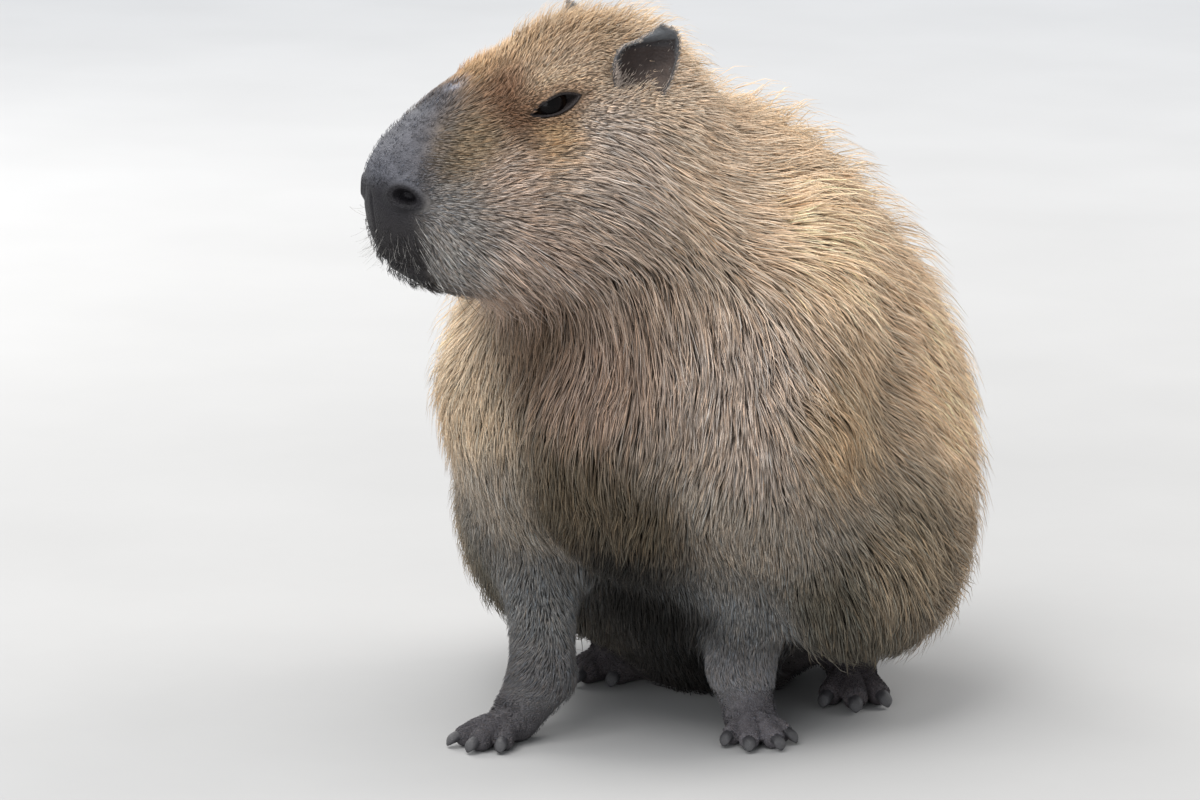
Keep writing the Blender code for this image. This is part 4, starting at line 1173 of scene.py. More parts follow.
def make_skin():
    """The net of the form, halved where it needs to be finer, with its folds, lids, pits and colours."""
    points, faces = surface(SKIN_LOW, SKIN_HIGH, SKIN_STEP)
    points = settle(points, rounds=3)
    for level in (1, 2, 3, 4):
        before = len(points)
        points, faces = refine(points, faces, regions(points, level))
        points[before:] = settle(points[before:], rounds=2)
    points = shape_feet(shape_eyes(shape_muzzle(points)))
    points[:, 2] = np.maximum(points[:, 2], FLOOR)
    colour, bare = markings(points)
    # painted shade: the skin under the hair is darkened, as the hairs shade it
    hairy = (1.0 - bare)[:, None]
    colour = colour * (1.0 - ROOT_SHADE * hairy)
    starts = 3 * np.arange(len(faces))
    attributes = (("Tint", colour), ("Bare", bare))
    flat_map = skin_map(points, faces)
    skin = new_object("skin", points, faces.ravel(), starts, material(skin_finish), attributes, flat_map)
    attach(skin, "root")
    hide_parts(*FLESH)
    return skin


# The coat

HAIR_RISE = (-0.06, 0.50, 0.84, 1.0)
HAIR_WIDTHS = (1.0, 0.80)
SHORT_RISE = (-0.08, 0.62, 1.0)
SHORT_WIDTHS = (1.0,)
HAIR_RIDGE = 0.42
# painted shade along each hair: darker at its root, deep in the coat, and paler towards its tip
HAIR_SHADES = {2: (0.40, 0.82, 1.04, 1.20), 1: (0.45, 0.98, 1.16)}
LONG_DEPTH = 0.0075
ROOT_DEPTH = 0.0012
LEAST_HEIGHT = 0.0016
BALD = 0.93
PATCH = 0.003
MOST_TRIANGLES = 195000
# around the trunk from straight ahead, in degrees, and the height where the neck begins
CHEST_ANGLE = 48
FLANK_ANGLE = 125
NECK_LEVEL = 0.415
# least and most, as shares of the mean
LENGTH_SPREAD = (0.72, 1.20)
WIDTH_SPREAD = (0.75, 1.25)
TUFT_TONES = (0.86, 1.16)
HAIR_TONES = (0.82, 1.20)
GUARD_LENGTH = 1.25
GUARD_WIDTH = 0.70
GUARD_HEIGHTS = (1.12, 1.45)
DARK_SHARE = 0.13
DARK_TONE = 0.62
PALE_SHARE = 0.11


def hash_noise(points, scale, seed, waves=9):
    """Smooth random values between about -1 and 1, as a sum of a few seeded waves."""
    dice = np.random.default_rng(seed)
    ways = dice.normal(size=(waves, 3)) / scale
    starts = dice.uniform(0, 2 * math.pi, waves)
    return np.sin(points @ ways.T + starts).sum(-1) / math.sqrt(waves / 1.6)


def skin_triangles():
    """Triangles of the finished skin, in the design's own directions."""
    mesh = bpy.data.objects["skin"].data
    places = np.empty(3 * len(mesh.vertices), np.float32)
    mesh.vertices.foreach_get("co", places)
    corners = np.empty(len(mesh.loops), np.int32)
    mesh.loops.foreach_get("vertex_index", corners)
    return places.reshape(-1, 3).astype(float) - SHIFT, corners.reshape(-1, 3)


def hair_cover(points, depth, bare, sizes):
    """How many times over the hair covers the skin at some places."""
    _, back, up = in_head(points)
    on_head = (back < 0.26) & (points[:, 2] > 0.36)
    cover = np.where(on_head, sizes.face_cover, sizes.cover)
    cover = cover * (1.0 - 0.88 * ease(bare, 0.25, 0.9))
    cover = np.where(bare > BALD, 0.0, cover)
    normal = unit(gradient(points))
    under = (normal[:, 2] < -0.72) & (points[:, 2] < 0.10)
    cover = np.where(under, 0.25 * cover, cover)
    cover = np.where((points[:, 2] < 0.05) & (depth < 0.006) & (normal[:, 2] < -0.1), 0.3 * cover, cover)
    cover = np.where(points[:, 2] < 0.006, 0.0, cover)
    for side in SIDES:
        out, along, across = eye_place(points, side)
        inside = by_eye(out) & (slit_distance(along, across) < 0.0020)
        cover = np.where(inside | (nostril_gauge(points, side) < 1.7), 0.0, cover)
    rise = np.abs(up - mouth_level(back))
    lips = on_head & (back < MOUTH_BACK) & (rise < LIP_HALF)
    return np.where(lips, 0.0, cover)


def hair_length(depth, sizes):
    """Mean length of the hair where the coat is that deep."""
    return sizes.least_length + sizes.length_per_depth * depth


def hair_width(length, sizes):
    """Mean width of a hair of that length."""
    return sizes.least_width + sizes.width_per_length * length


def scatter_roots(dice, sizes):
    """Places for the hairs, spread over the skin by the cover that each place needs."""
    places, corners = skin_triangles()
    sides = places[corners]
    area = length_of(np.cross(sides[:, 1] - sides[:, 0], sides[:, 2] - sides[:, 0])) / 2
    middle = sides.mean(1)
    depth = coat_at(middle)[1]
    bare = markings(middle)[1]
    length = hair_length(depth, sizes)
    number = area * hair_cover(middle, depth, bare, sizes) / (length * hair_width(length, sizes))
    edge = np.concatenate([[0.0], np.cumsum(number)])
    count = int(edge[-1])
    # one hair in each equal step along the summed cover keeps the spread even
    at = (np.arange(count) + dice.uniform(0, 1, count)) * edge[-1] / count
    face = np.clip(np.searchsorted(edge, at, side="right") - 1, 0, len(corners) - 1)
    a, b = dice.uniform(0, 1, (2, count))
    flip = a + b > 1
    a, b = np.where(flip, 1 - a, a), np.where(flip, 1 - b, b)
    tri = sides[face]
    return tri[:, 0] + a[:, None] * (tri[:, 1] - tri[:, 0]) + b[:, None] * (tri[:, 2] - tri[:, 0])


def lie_on_skin(points, yaw):
    """The way the hair lies on the skin, turned a little, and the skin's normal."""
    normal = unit(gradient(points))
    way = coat_at(points)[0]
    way = unit(way - (way * normal).sum(-1, keepdims=True) * normal)
    side = np.cross(normal, way)
    return way * np.cos(yaw)[:, None] + side * np.sin(yaw)[:, None], normal


def trace(roots, length, height, yaw, curl, rise):
    """Spine of each hair from root to tip, and the normals along it."""
    steps = len(rise) - 1
    start = body_field(roots)
    spine, normals = [], []
    place = roots
    for k in range(steps + 1):
        way, normal = lie_on_skin(place, yaw + curl * k / steps)
        if k == 0:
            place = roots - ROOT_DEPTH * normal
            goal = start
        else:
            climb = height * (rise[k] - rise[k - 1])
            flat = np.sqrt(np.maximum((length / steps) ** 2 - climb**2, 0.0))
            place = place + way * flat[:, None]
            goal = start + height * rise[k]
            for _ in range(2):
                place = place + (goal - body_field(place))[:, None] * normal
        place = np.column_stack([place[:, :2], np.maximum(place[:, 2], LEAST_HEIGHT)])
        spine.append(place)
        normals.append(normal)
    return np.stack(spine, 1), np.stack(normals, 1)


def gather(spine, roots, clump, dice, share):
    """Draws the tips of neighbouring hairs together into tufts."""
    seeds = np.unique((dice.uniform(0, 1, int(len(roots) * share)) * len(roots)).astype(int))
    tree = kdtree.KDTree(len(seeds))
    for k, seed in enumerate(seeds):
        tree.insert(roots[seed], k)
    tree.balance()
    nearest = seeds[[tree.find(root)[1] for root in roots]]
    last = spine.shape[1] - 1
    for k in range(1, last + 1):
        pull = clump * (k / last) ** 1.3
        spine[:, k] += (spine[nearest, k] - spine[:, k]) * pull[:, None]
    return spine, nearest


def hair_mesh(name, spine, normals, width, colour, flat, widths):
    """Joined mesh of flat three-sided hairs, each drawn to a point at its root and its tip."""
    count, rows = spine.shape[0], len(widths)
    along = np.gradient(spine, axis=1)[:, 1:-1]
    side = unit(np.cross(normals[:, 1:-1], along))
    over = unit(np.cross(along, side))
    wide = width[:, None, None] * np.array(widths)[None, :, None]
    middle = spine[:, 1:-1]
    left, top, right = middle + 0.5 * wide * side, middle + HAIR_RIDGE * wide * over, middle - 0.5 * wide * side
    ring = np.stack([left, top, right], 2)
    points = np.concatenate([spine[:, :1], ring.reshape(count, rows * 3, 3), spine[:, -1:]], 1)
    per = rows * 3 + 2
    faces, flats = [], []
    for k in range(3):
        after = (k + 1) % 3
        faces.append((0, 1 + after, 1 + k))
        flats += [(k + 0.5, 0), (k + 1, 1), (k, 1)]
        for row in range(rows - 1):
            a, b = 1 + 3 * row + k, 1 + 3 * row + after
            faces.append((a, b, b + 3, a + 3))
            flats += [(k, row + 1), (k + 1, row + 1), (k + 1, row + 2), (k, row + 2)]
        a, b = 1 + 3 * (rows - 1) + k, 1 + 3 * (rows - 1) + after
        faces.append((a, b, per - 1))
        flats += [(k, rows), (k + 1, rows), (k + 0.5, rows + 1)]
    loops = np.array([corner for face in faces for corner in face])
    starts = np.cumsum([0] + [len(face) for face in faces])[:-1]
    all_loops = (loops[None] + per * np.arange(count)[:, None]).ravel()
    all_starts = (starts[None] + len(loops) * np.arange(count)[:, None]).ravel()
    patch = (np.array(flats) / (3.0, rows + 1.0) - 0.5) * PATCH
    all_flat = (flat[:, None] + patch[None]).reshape(-1, 2)
    # painted shade, darker towards each hair's root
    shade = np.repeat(np.array(HAIR_SHADES[rows]), [1] + [3] * rows + [1])
    tint = (colour[:, None] * shade[None, :, None]).reshape(-1, 3)
    points = points.reshape(-1, 3)
    item = new_object(name, points, all_loops, all_starts, material(coat_finish), (("Tint", tint),), all_flat)
    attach(item, "root")
    return item


def part_of_body(roots):
    """The name of the coat piece that each hair belongs to."""
    left, back, up = in_head(roots)
    angle = np.degrees(np.arctan2(roots[:, 0], -(roots[:, 1] - 0.12)))
    names = np.full(len(roots), "coat_rump_left", dtype=object)
    names[angle < 0] = "coat_rump_right"
    names[np.abs(angle) < FLANK_ANGLE] = "coat_flank"
    flank = names == "coat_flank"
    names[flank & (angle > 0)] = "coat_flank_left"
    names[flank & (angle < 0)] = "coat_flank_right"
    names[np.abs(angle) < CHEST_ANGLE] = "coat_chest"
    names[roots[:, 2] > NECK_LEVEL] = "coat_neck"
    head = (back < 0.245) & (np.abs(left) < 0.12) & (up > -0.13) & (roots[:, 2] > 0.37)
    names[head & (up > 0.035)] = "coat_crown"
    names[head & (up <= 0.035)] = "coat_cheeks"
    names[head & (back < 0.085)] = "coat_muzzle"
    for side in SIDES:
        leg = limb(roots, elbow_of(side), wrist_of(side), 0.052, 0.040)
        names[(leg < 0) & (roots[:, 2] < 0.175)] = "coat_forelegs"
        foot = length_of((roots - palm_of(side))[:, :2])
        names[(foot < 0.09) & (roots[:, 2] < 0.055)] = "coat_feet"
        names[(limb(roots, *sole_of(side), 0.03, 0.03) < 0) & (roots[:, 2] < 0.05)] = "coat_feet"
    return names


def hair_colour(roots, nearest, dice):
    """Each hair's colour: that of its place, varied by tuft and by hair, with a few dark or pale ones."""
    colour, _ = markings(roots)
    count = len(roots)
    tuft = dice.uniform(*TUFT_TONES, count)[nearest]
    own = dice.uniform(*HAIR_TONES, count)
    dark = dice.uniform(0, 1, count) < DARK_SHARE
    own = np.where(dark, own * DARK_TONE, own)
    warm = dice.normal(0, 0.05, count)
    colour = colour * (tuft * own)[:, None] * np.stack([1 + warm, np.ones(count), 1 - warm], -1)
    _, back, up = in_head(roots)
    beard = ease(back, 0.105, 0.055) * ease(up, 0.0, -0.035) * (roots[:, 2] > 0.37) * (back > -0.03)
    beard = beard * (0.08 + 0.92 * ease(back, 0.034, 0.058))
    pale = dice.uniform(0, 1, count) < PALE_SHARE * beard
    colour = np.where(pale[:, None], mix(colour, WHITISH, np.full(count, 0.50)), colour)
    return np.clip(colour, 0.003, 0.9)


def make_coat(sizes):
    """Hairs over the whole skin, in pieces by the part of the body, long and short ones apart."""
    dice = np.random.default_rng(sizes.seed)
    roots = scatter_roots(dice, sizes)
    count = len(roots)
    depth = coat_at(roots)[1]
    bare = markings(roots)[1]
    left, back, up = in_head(roots)
    crown = ease(up, 0.020, 0.055) * ease(back, 0.098, 0.116) * ease(back, 0.34, 0.28) * (np.abs(left) < 0.12)
    # a few longer hairs stand out, the most over the crown, the longest where there is room
    guard = dice.uniform(0, 1, count) < sizes.guard_share * ease(depth, 0.006, 0.012) * (1.0 + crown)
    length = hair_length(depth, sizes) * dice.uniform(*LENGTH_SPREAD, count) * (1.0 - 0.38 * crown)
    length = np.where(bare > 0.5, 0.55 * length, length)
    width = hair_width(length, sizes) * dice.uniform(*WIDTH_SPREAD, count)
    height = depth * np.clip(dice.normal(0.78, 0.20, count), 0.20, 1.15) * (1.0 + 0.65 * crown)
    length = np.where(guard, GUARD_LENGTH * length, length)
    width = np.where(guard, GUARD_WIDTH * width, width)
    room = ease(roots[:, 2], 0.34, 0.42) * ease(np.abs(roots[:, 0]), 0.185, 0.16)
    height = np.where(guard, depth * dice.uniform(*GUARD_HEIGHTS, count) * (1 + 0.50 * room), height)
    length = np.where(guard, length * (1 + 0.35 * room), length)
    height = np.minimum(height, 0.85 * length)
    yaw = 0.10 * hash_noise(roots, 0.012, 3) + 0.12 * hash_noise(roots, 0.040, 5) + dice.normal(0, 0.08, count)
    curl = 0.14 * hash_noise(roots, 0.025, 7) + dice.normal(0, 0.10, count)
    long_coat = depth > LONG_DEPTH
    names = part_of_body(roots)
    for is_long, rise, widths in ((True, HAIR_RISE, HAIR_WIDTHS), (False, SHORT_RISE, SHORT_WIDTHS)):
        pick = np.flatnonzero(long_coat == is_long)
        spine, normals = trace(roots[pick], length[pick], height[pick], yaw[pick], curl[pick], rise)
        clump = (sizes.clump if is_long else 0.6 * sizes.clump) * dice.uniform(0.4, 1.1, len(pick))
        clump = np.where(guard[pick], 0.1, 1.0 - 0.8 * crown[pick]) * clump
        spine, nearest = gather(spine, roots[pick], clump, dice, sizes.tuft_share)
        colour = hair_colour(roots[pick], nearest, dice)
        flat = chart_places(roots[pick], chart_of(roots[pick]))
        per = 6 * len(widths)
        for name in sorted(set(names[pick])):
            mine = np.flatnonzero(names[pick] == name)
            mine = mine[np.argsort(roots[pick][mine, 0])]
            groups = math.ceil(len(mine) * per / MOST_TRIANGLES)
            for k, group in enumerate(np.array_split(mine, groups)):
                label = (name if is_long else name + "_short") + ("_" + str(k + 1) if groups > 1 else "")
                wide = width[pick][group]
                hair_mesh(label, spine[group], normals[group], wide, colour[group], flat[group], widths)


# Whiskers and lip bristles, by Geometry Nodes

WHISKER_ROWS = 5
WHISKERS_IN_ROW = 5
WHISKER_LENGTHS = (0.024, 0.046)
WHISKER_BEND = 0.22
LIP_BRISTLES = 84
LIP_LEVELS = (-0.090, -0.046)
LIP_LENGTHS = (0.009, 0.020)


def bristle_tree():
    """Node tree that sets a curved tapering bristle on each point, along its own direction."""
    tree = bpy.data.node_groups.new("Bristles on points", "GeometryNodeTree")
    sockets = tree.interface
    sockets.new_socket("Geometry", in_out="INPUT", socket_type="NodeSocketGeometry")
    for label, value in (("Root radius", 0.0004), ("Bend", 0.18)):
        socket = sockets.new_socket(label, in_out="INPUT", socket_type="NodeSocketFloat")
        socket.default_value = value
    sockets.new_socket("Finish", in_out="INPUT", socket_type="NodeSocketMaterial")
    sockets.new_socket("Geometry", in_out="OUTPUT", socket_type="NodeSocketGeometry")

    def node(kind, inputs, output=0, **settings):
        """Adds a node, its inputs set or linked, and gives one of its outputs."""
        made = tree.nodes.new(kind)
        for label, value in settings.items():
            setattr(made, label, value)
        for label, value in inputs.items():
            if isinstance(value, bpy.types.NodeSocket):
                tree.links.new(value, made.inputs[label])
            else:
                made.inputs[label].default_value = value
        return made.outputs[output] if made.outputs else None

    start = tree.nodes.new("NodeGroupInput").outputs
    middle = node("ShaderNodeCombineXYZ", {"Z": 0.5})
    bend = node("ShaderNodeCombineXYZ", {"X": start["Bend"], "Z": 0.97})
    ends = {"Resolution": 6, "Start": (0, 0, 0), "Middle": middle, "End": bend}
    line = node("GeometryNodeCurveQuadraticBezier", ends)
    share = node("GeometryNodeSplineParameter", {}, output="Factor")
    taper = node("ShaderNodeMath", {0: 1.03, 1: share}, operation="SUBTRACT")
    line = node("GeometryNodeSetCurveRadius", {"Curve": line, "Radius": taper})
    round_edge = {"Resolution": 5, "Radius": start["Root radius"]}
    ring = node("GeometryNodeCurvePrimitiveCircle", round_edge, output="Curve")
    body = node("GeometryNodeCurveToMesh", {"Curve": line, "Profile Curve": ring, "Fill Caps": True})
    length = node("GeometryNodeInputNamedAttribute", {"Name": "length"}, data_type="FLOAT")
    scale = node("ShaderNodeCombineXYZ", {"X": length, "Y": length, "Z": length})
    way = node("GeometryNodeInputNamedAttribute", {"Name": "way"}, data_type="FLOAT_VECTOR")
    aim = node("FunctionNodeAlignRotationToVector", {"Vector": way}, axis="Z")
    placing = {"Points": start["Geometry"], "Instance": body, "Rotation": aim, "Scale": scale}
    placed = node("GeometryNodeInstanceOnPoints", placing)
    real = node("GeometryNodeRealizeInstances", {"Geometry": placed})
    dressed = node("GeometryNodeSetMaterial", {"Geometry": real, "Material": start["Finish"]})
    node("NodeGroupOutput", {0: dressed})
    return tree


def set_input(modifier, label, value):
    """Sets a modifier's input by its socket's identifier."""
    for item in modifier.node_group.interface.items_tree:
        if item.item_type == "SOCKET" and item.in_out == "INPUT" and item.name == label:
            modifier[item.identifier] = value
            return
    raise RuntimeError("no input called " + label)


def bristle_points(dice):
    """Roots, directions and lengths of the whiskers beside the nose and the bristles over the lips."""
    places, ways, lengths = [], [], []
    for side in SIDES:
        for row in range(WHISKER_ROWS):
            for k in range(WHISKERS_IN_ROW):
                back = 0.026 + 0.0075 * k + dice.normal(0, 0.0015)
                up = -0.034 - 0.0080 * row + dice.normal(0, 0.0015)
                places.append(side_place(side, (0.05, back, up)))
                swing = 0.35 + 0.07 * k + dice.normal(0, 0.10)
                way = side * HEAD_LEFT * math.cos(swing) - HEAD_FORWARD * (math.sin(swing) - 0.42)
                ways.append(way + HEAD_UP * (-0.30 - 0.06 * row + dice.normal(0, 0.10)))
                lengths.append(dice.uniform(*WHISKER_LENGTHS))
    for _ in range(LIP_BRISTLES):
        swing = dice.uniform(-1.35, 1.35)
        out = math.sin(swing) * HEAD_LEFT + math.cos(swing) * HEAD_FORWARD
        up = dice.uniform(*LIP_LEVELS)
        places.append(head_place(0, 0.045, up) + 0.05 * out)
        ways.append(0.75 * out - HEAD_UP * dice.uniform(0.55, 1.2) + 0.15 * dice.normal(0, 1, 3))
        lengths.append(dice.uniform(*LIP_LENGTHS))
    return np.array(places), unit(np.array(ways)), np.array(lengths)


def make_bristles(sizes):
    """Whiskers and lip bristles, rooted a little under the skin."""
    dice = np.random.default_rng(sizes.seed + 1)
    places, ways, lengths = bristle_points(dice)
    inside = settle(places, rounds=12, reach=0.01)
    holder = bpy.data.meshes.new("bristle_roots")
    holder.from_pydata([Vector(place + SHIFT) for place in inside - 0.001 * ways], [], [])
    layer = holder.attributes.new("way", "FLOAT_VECTOR", "POINT")
    layer.data.foreach_set("vector", ways.astype(np.float32).ravel())
    layer = holder.attributes.new("length", "FLOAT", "POINT")
    layer.data.foreach_set("value", lengths.astype(np.float32))
    roots = bpy.data.objects.new("bristle_roots", holder)
    bpy.context.scene.collection.objects.link(roots)
    modifier = roots.modifiers.new("bristles", "NODES")
    modifier.node_group = bristle_tree()
    set_input(modifier, "Root radius", sizes.bristle_radius)
    set_input(modifier, "Bend", WHISKER_BEND)
    set_input(modifier, "Finish", material(bristle_finish))
    graph = bpy.context.evaluated_depsgraph_get()
    mesh = bpy.data.meshes.new_from_object(roots.evaluated_get(graph))
    bpy.data.objects.remove(roots)
    item = bpy.data.objects.new("whiskers", mesh)
    bpy.context.scene.collection.objects.link(item)
    for face in mesh.polygons:
        face.use_smooth = True
    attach(item, "root")
    return item


# Ears, eyes and claws

EAR_ROWS = (0.0, 0.22, 0.42, 0.60, 0.76, 0.88, 0.96, 1.0)
EAR_HALF_WIDTHS = (0.0180, 0.0220, 0.0245, 0.0260, 0.0255, 0.0225, 0.0165, 0.0080)
EAR_CUP = 0.011
EAR_SHEAR = 0.007
EAR_THICK = 0.0030
EAR_BAND = 0.0066
EAR_GRID = (34, 25)
EAR_INSIDE = (0.022, 0.014, 0.012)
EAR_LOW = (0.075, 0.055, 0.045)
EAR_OUTSIDE = (0.125, 0.115, 0.105)
EAR_RIM = (0.084, 0.088, 0.094)
EAR_HAIR = (0.27, 0.26, 0.25)


def ear_grid():
    """Height, place across, half width, distance in, and the folded band's share and strength, over an ear."""
    rows, columns = EAR_GRID
    h = np.repeat(1.0 - (1.0 - np.linspace(0, 1, rows)) ** 1.5, columns)
    w = np.tile(np.sin(np.linspace(-1, 1, columns) * math.pi / 2), rows)
    half = curve(h, EAR_ROWS, EAR_HALF_WIDTHS)
    height = np.linalg.norm(vec(*EAR_TIP) - vec(*EAR_BASE))
    aside, above = half * (1 - np.abs(w)), height * (1 - h)
    upper = EAR_BAND * (1.0 + 0.35 * w)
    edge = 0.0016 + 0.0026 * ease(h - 0.3 * w, 0.2, 0.9)
    share = np.minimum(aside / edge, above / upper)
    fold = np.where(aside / edge < above / upper, 0.25 + 0.45 * ease(h, 0.3, 0.9), 1.0)
    return h, w, half, np.minimum(aside, above), share, fold


def ear_sheets(side):
    """Front and rear sheets of a cupped ear whose upper edge folds over in a thick band."""
    h, w, half, inward, share, fold = ear_grid()
    base, tip = vec(*EAR_BASE), vec(*EAR_TIP)
    a = math.radians(EAR_FACING)
    facing = vec(math.sin(a), -math.cos(a), 0.10)
    across = vec(math.cos(a), math.sin(a), 0.0)
    cup = EAR_CUP * (w * w - 0.35) * (1.0 - 0.6 * h * h) * np.minimum(1.0, 0.3 + 1.4 * h)
    roll = 0.0034 * np.sin(math.pi * np.minimum(share, 1.0) ** 0.75) * fold
    roll -= 0.0012 * hump(share, 1.25, 0.2) * fold
    ridge = 0.0008 * np.sin(10 * w + 2 * h) * (1 - w * w) * ease(share, 1.0, 1.8) * h
    thick = 0.0008 + EAR_THICK * (0.35 + 1.9 * (1 - h)) * (1 - w * w) * ease(inward, 0.0, 0.008)
    middle = base + (tip - base) * h[:, None] + (w * half)[:, None] * across
    middle = middle + (EAR_SHEAR * w * h * h)[:, None] * unit(tip - base)
    middle = middle + (cup - 0.003 * np.sin(math.pi * h))[:, None] * facing
    sheets = [middle + (roll + ridge)[:, None] * facing, middle - thick[:, None] * facing]
    return [head_place(side * p[:, :1], p[:, 1:2], p[:, 2:]) for p in sheets], side_vector(side, facing)


def side_vector(side, way):
    """A direction given on the left side of the head, on that side."""
    return unit(side * way[0] * HEAD_LEFT - way[1] * HEAD_FORWARD + way[2] * HEAD_UP)


def make_ear(side):
    """An ear as two sheets joined around their edge; gives the sheets and the way it faces."""
    rows, columns = EAR_GRID
    (front, rear), facing = ear_sheets(side)
    count = rows * columns
    points = np.concatenate([front, rear])
    faces = []
    for r in range(rows - 1):
        for c in range(columns - 1):
            q = r * columns + c
            faces.append((q, q + 1, q + columns + 1, q + columns))
            faces.append((count + q, count + q + columns, count + q + columns + 1, count + q + 1))
    edge = list(range(columns))
    edge += [r * columns + columns - 1 for r in range(1, rows)]
    edge += [(rows - 1) * columns + c for c in range(columns - 2, -1, -1)]
    edge += [r * columns for r in range(rows - 2, 0, -1)]
    for k in range(len(edge)):
        a, b = edge[k], edge[(k + 1) % len(edge)]
        faces.append((b, a, count + a, count + b))
    if side < 0:
        faces = [face[::-1] for face in faces]
    h, w, _, inward, share, fold = ear_grid()
    inner = mix(np.tile(EAR_INSIDE, (count, 1)), EAR_LOW, ease(h - 0.15 * w, 0.60, 0.10))
    # painted shade in the crease under the folded band
    inner = mix(inner, BLACKISH, 0.85 * hump(share, 1.35, 0.3) * fold)
    inner = mix(inner, EAR_RIM, ease(share, 1.10, 0.90) * (0.4 + 0.6 * fold))
    outer = mix(np.tile(EAR_OUTSIDE, (count, 1)), EAR_RIM, 0.7 * ease(inward, 0.006, 0.001))
    attributes = (("Tint", np.concatenate([inner, outer])),)
    item = faces_object("ear_skin_" + SIDE_NAMES[side], points, faces, material(ear_finish), attributes)
    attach(item, "root")
    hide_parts("ear_" + SIDE_NAMES[side])
    return front, rear, facing


def make_ear_hair(side, front, rear, facing, sizes):
    """Fine hair on the back and the edge of an ear, and longer ones low in its cup."""
    dice = np.random.default_rng(sizes.seed + 20 + side)
    upward = unit(side_place(side, EAR_TIP) - side_place(side, EAR_BASE))
    h, w, _, inward, _, _ = ear_grid()
    spines, normals, colours = [], [], []
    for sheet, out, number, colour, reach in (
        (rear, -facing, 2600, EAR_HAIR, 0.0062), (front, facing, 3200, TEMPLE, 0.0080)
    ):
        pick = dice.integers(0, len(sheet), number)
        chance = ease(h[pick], 0.02, 0.10)
        if sheet is front:
            low = ease(h[pick] + 0.25 * w[pick], 0.42, 0.05)
            chance = chance * (0.03 + 0.75 * low + 0.20 * ease(inward[pick], 0.0022, 0.0))
        keep = pick[dice.uniform(0, 1, number) < chance]
        root = sheet[keep] + dice.normal(0, 0.0007, (len(keep), 3)) - 0.0007 * out
        way = 0.8 * upward + 0.40 * out + 0.22 * dice.normal(0, 1, root.shape) - 0.45 * HEAD_FORWARD
        length = reach * dice.uniform(0.55, 1.15, len(keep)) * (1.0 - 0.5 * ease(h[keep], 0.3, 0.8))
        along = length[:, None] * np.array([0.0, 0.5, 1.0])
        spines.append(root[:, None] + unit(way)[:, None] * along[..., None])
        normals.append(np.tile(out, (len(keep), 3, 1)))
        colours.append(np.array(colour)[None] * dice.uniform(0.40, 1.0, len(keep))[:, None])
    spine, normal, colour = np.concatenate(spines), np.concatenate(normals), np.concatenate(colours)
    flat = chart_places(spine[:, 0], np.ones(len(spine), int))
    width = np.full(len(spine), 0.0005)
    return hair_mesh("ear_hair_" + SIDE_NAMES[side], spine, normal, width, colour, flat, SHORT_WIDTHS)


CORNEA = 0.0004


def make_eye(side):
    """Ball with a slightly fuller cornea, its rings about the axis that looks out of the slit."""
    centre = side_place(side, EYE_PLACE)
    axis = unit(side * HEAD_LEFT + 0.26 * HEAD_FORWARD + 0.05 * HEAD_UP)
    across = unit(np.cross(axis, HEAD_UP))
    over = np.cross(across, axis)
    rings, around = 40, 56
    points, off = [centre + axis * (EYE_RADIUS + CORNEA)], [0.0]
    for ring in range(1, rings):
        dip = math.pi * ring / rings
        radius = EYE_RADIUS + CORNEA * float(ease(dip, 0.9, 0.3))
        for k in range(around):
            a = 2 * math.pi * k / around
            way = math.cos(dip) * axis + math.sin(dip) * (math.cos(a) * across + math.sin(a) * over)
            points.append(centre + radius * way)
            off.append(dip / (math.pi / 2))
    points.append(centre - axis * EYE_RADIUS)
    off.append(2.0)
    faces = [(0, 1 + (k + 1) % around, 1 + k) for k in range(around)]
    for ring in range(rings - 2):
        a, b = 1 + ring * around, 1 + (ring + 1) * around
        faces += [(a + k, a + (k + 1) % around, b + (k + 1) % around, b + k) for k in range(around)]
    last, end = 1 + (rings - 2) * around, len(points) - 1
    faces += [(last + k, last + (k + 1) % around, end) for k in range(around)]
    attributes = (("Off", np.clip(off, 0, 1)),)
    item = faces_object("eyeball_" + SIDE_NAMES[side], points, faces, material(eye_finish), attributes)
    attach(item, "root")
    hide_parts("eye_" + SIDE_NAMES[side])
    return item


CLAW_LENGTH = 0.017
CLAW_HALF_WIDTH = 0.0055
CLAW_HEIGHT = 0.0085


def claw_shape(tip, way, size):
    """Blunt curved horn with a ridge along its top, and how near its end each corner is."""
    side = np.cross(way, HEAD_UP)
    around, rings = 16, 12
    points, near = [], []
    for ring in range(rings):
        t = 1.0 - (1.0 - ring / (rings - 1)) ** 1.8
        ahead = -0.008 + (CLAW_LENGTH + 0.008) * t
        lift = 0.0055 * (1.0 - t**1.6)
        share = (1.08 - 0.06 * t) * (1.0 - t**16) ** 0.5 if ring < rings - 1 else 0.35
        middle = tip + size * ahead * way
        middle[2] = 0.0022 + lift
        for k in range(around):
            a = 2 * math.pi * k / around
            ridge = 1.0 + 0.10 * max(0.0, math.sin(a)) ** 6
            wide = CLAW_HALF_WIDTH * share * size * math.cos(a)
            high = CLAW_HEIGHT / 2 * share * size * (1 + math.sin(a) * ridge)
            points.append(middle + wide * side + vec(0, 0, high))
            near.append(t)
    faces = []
    for ring in range(rings - 1):
        a, b = around * ring, around * (ring + 1)
        faces += [(a + k, b + k, b + (k + 1) % around, a + (k + 1) % around) for k in range(around)]
    faces += [tuple(range(around)), tuple(range(len(points) - 1, len(points) - around - 1, -1))]
    return points, faces, near


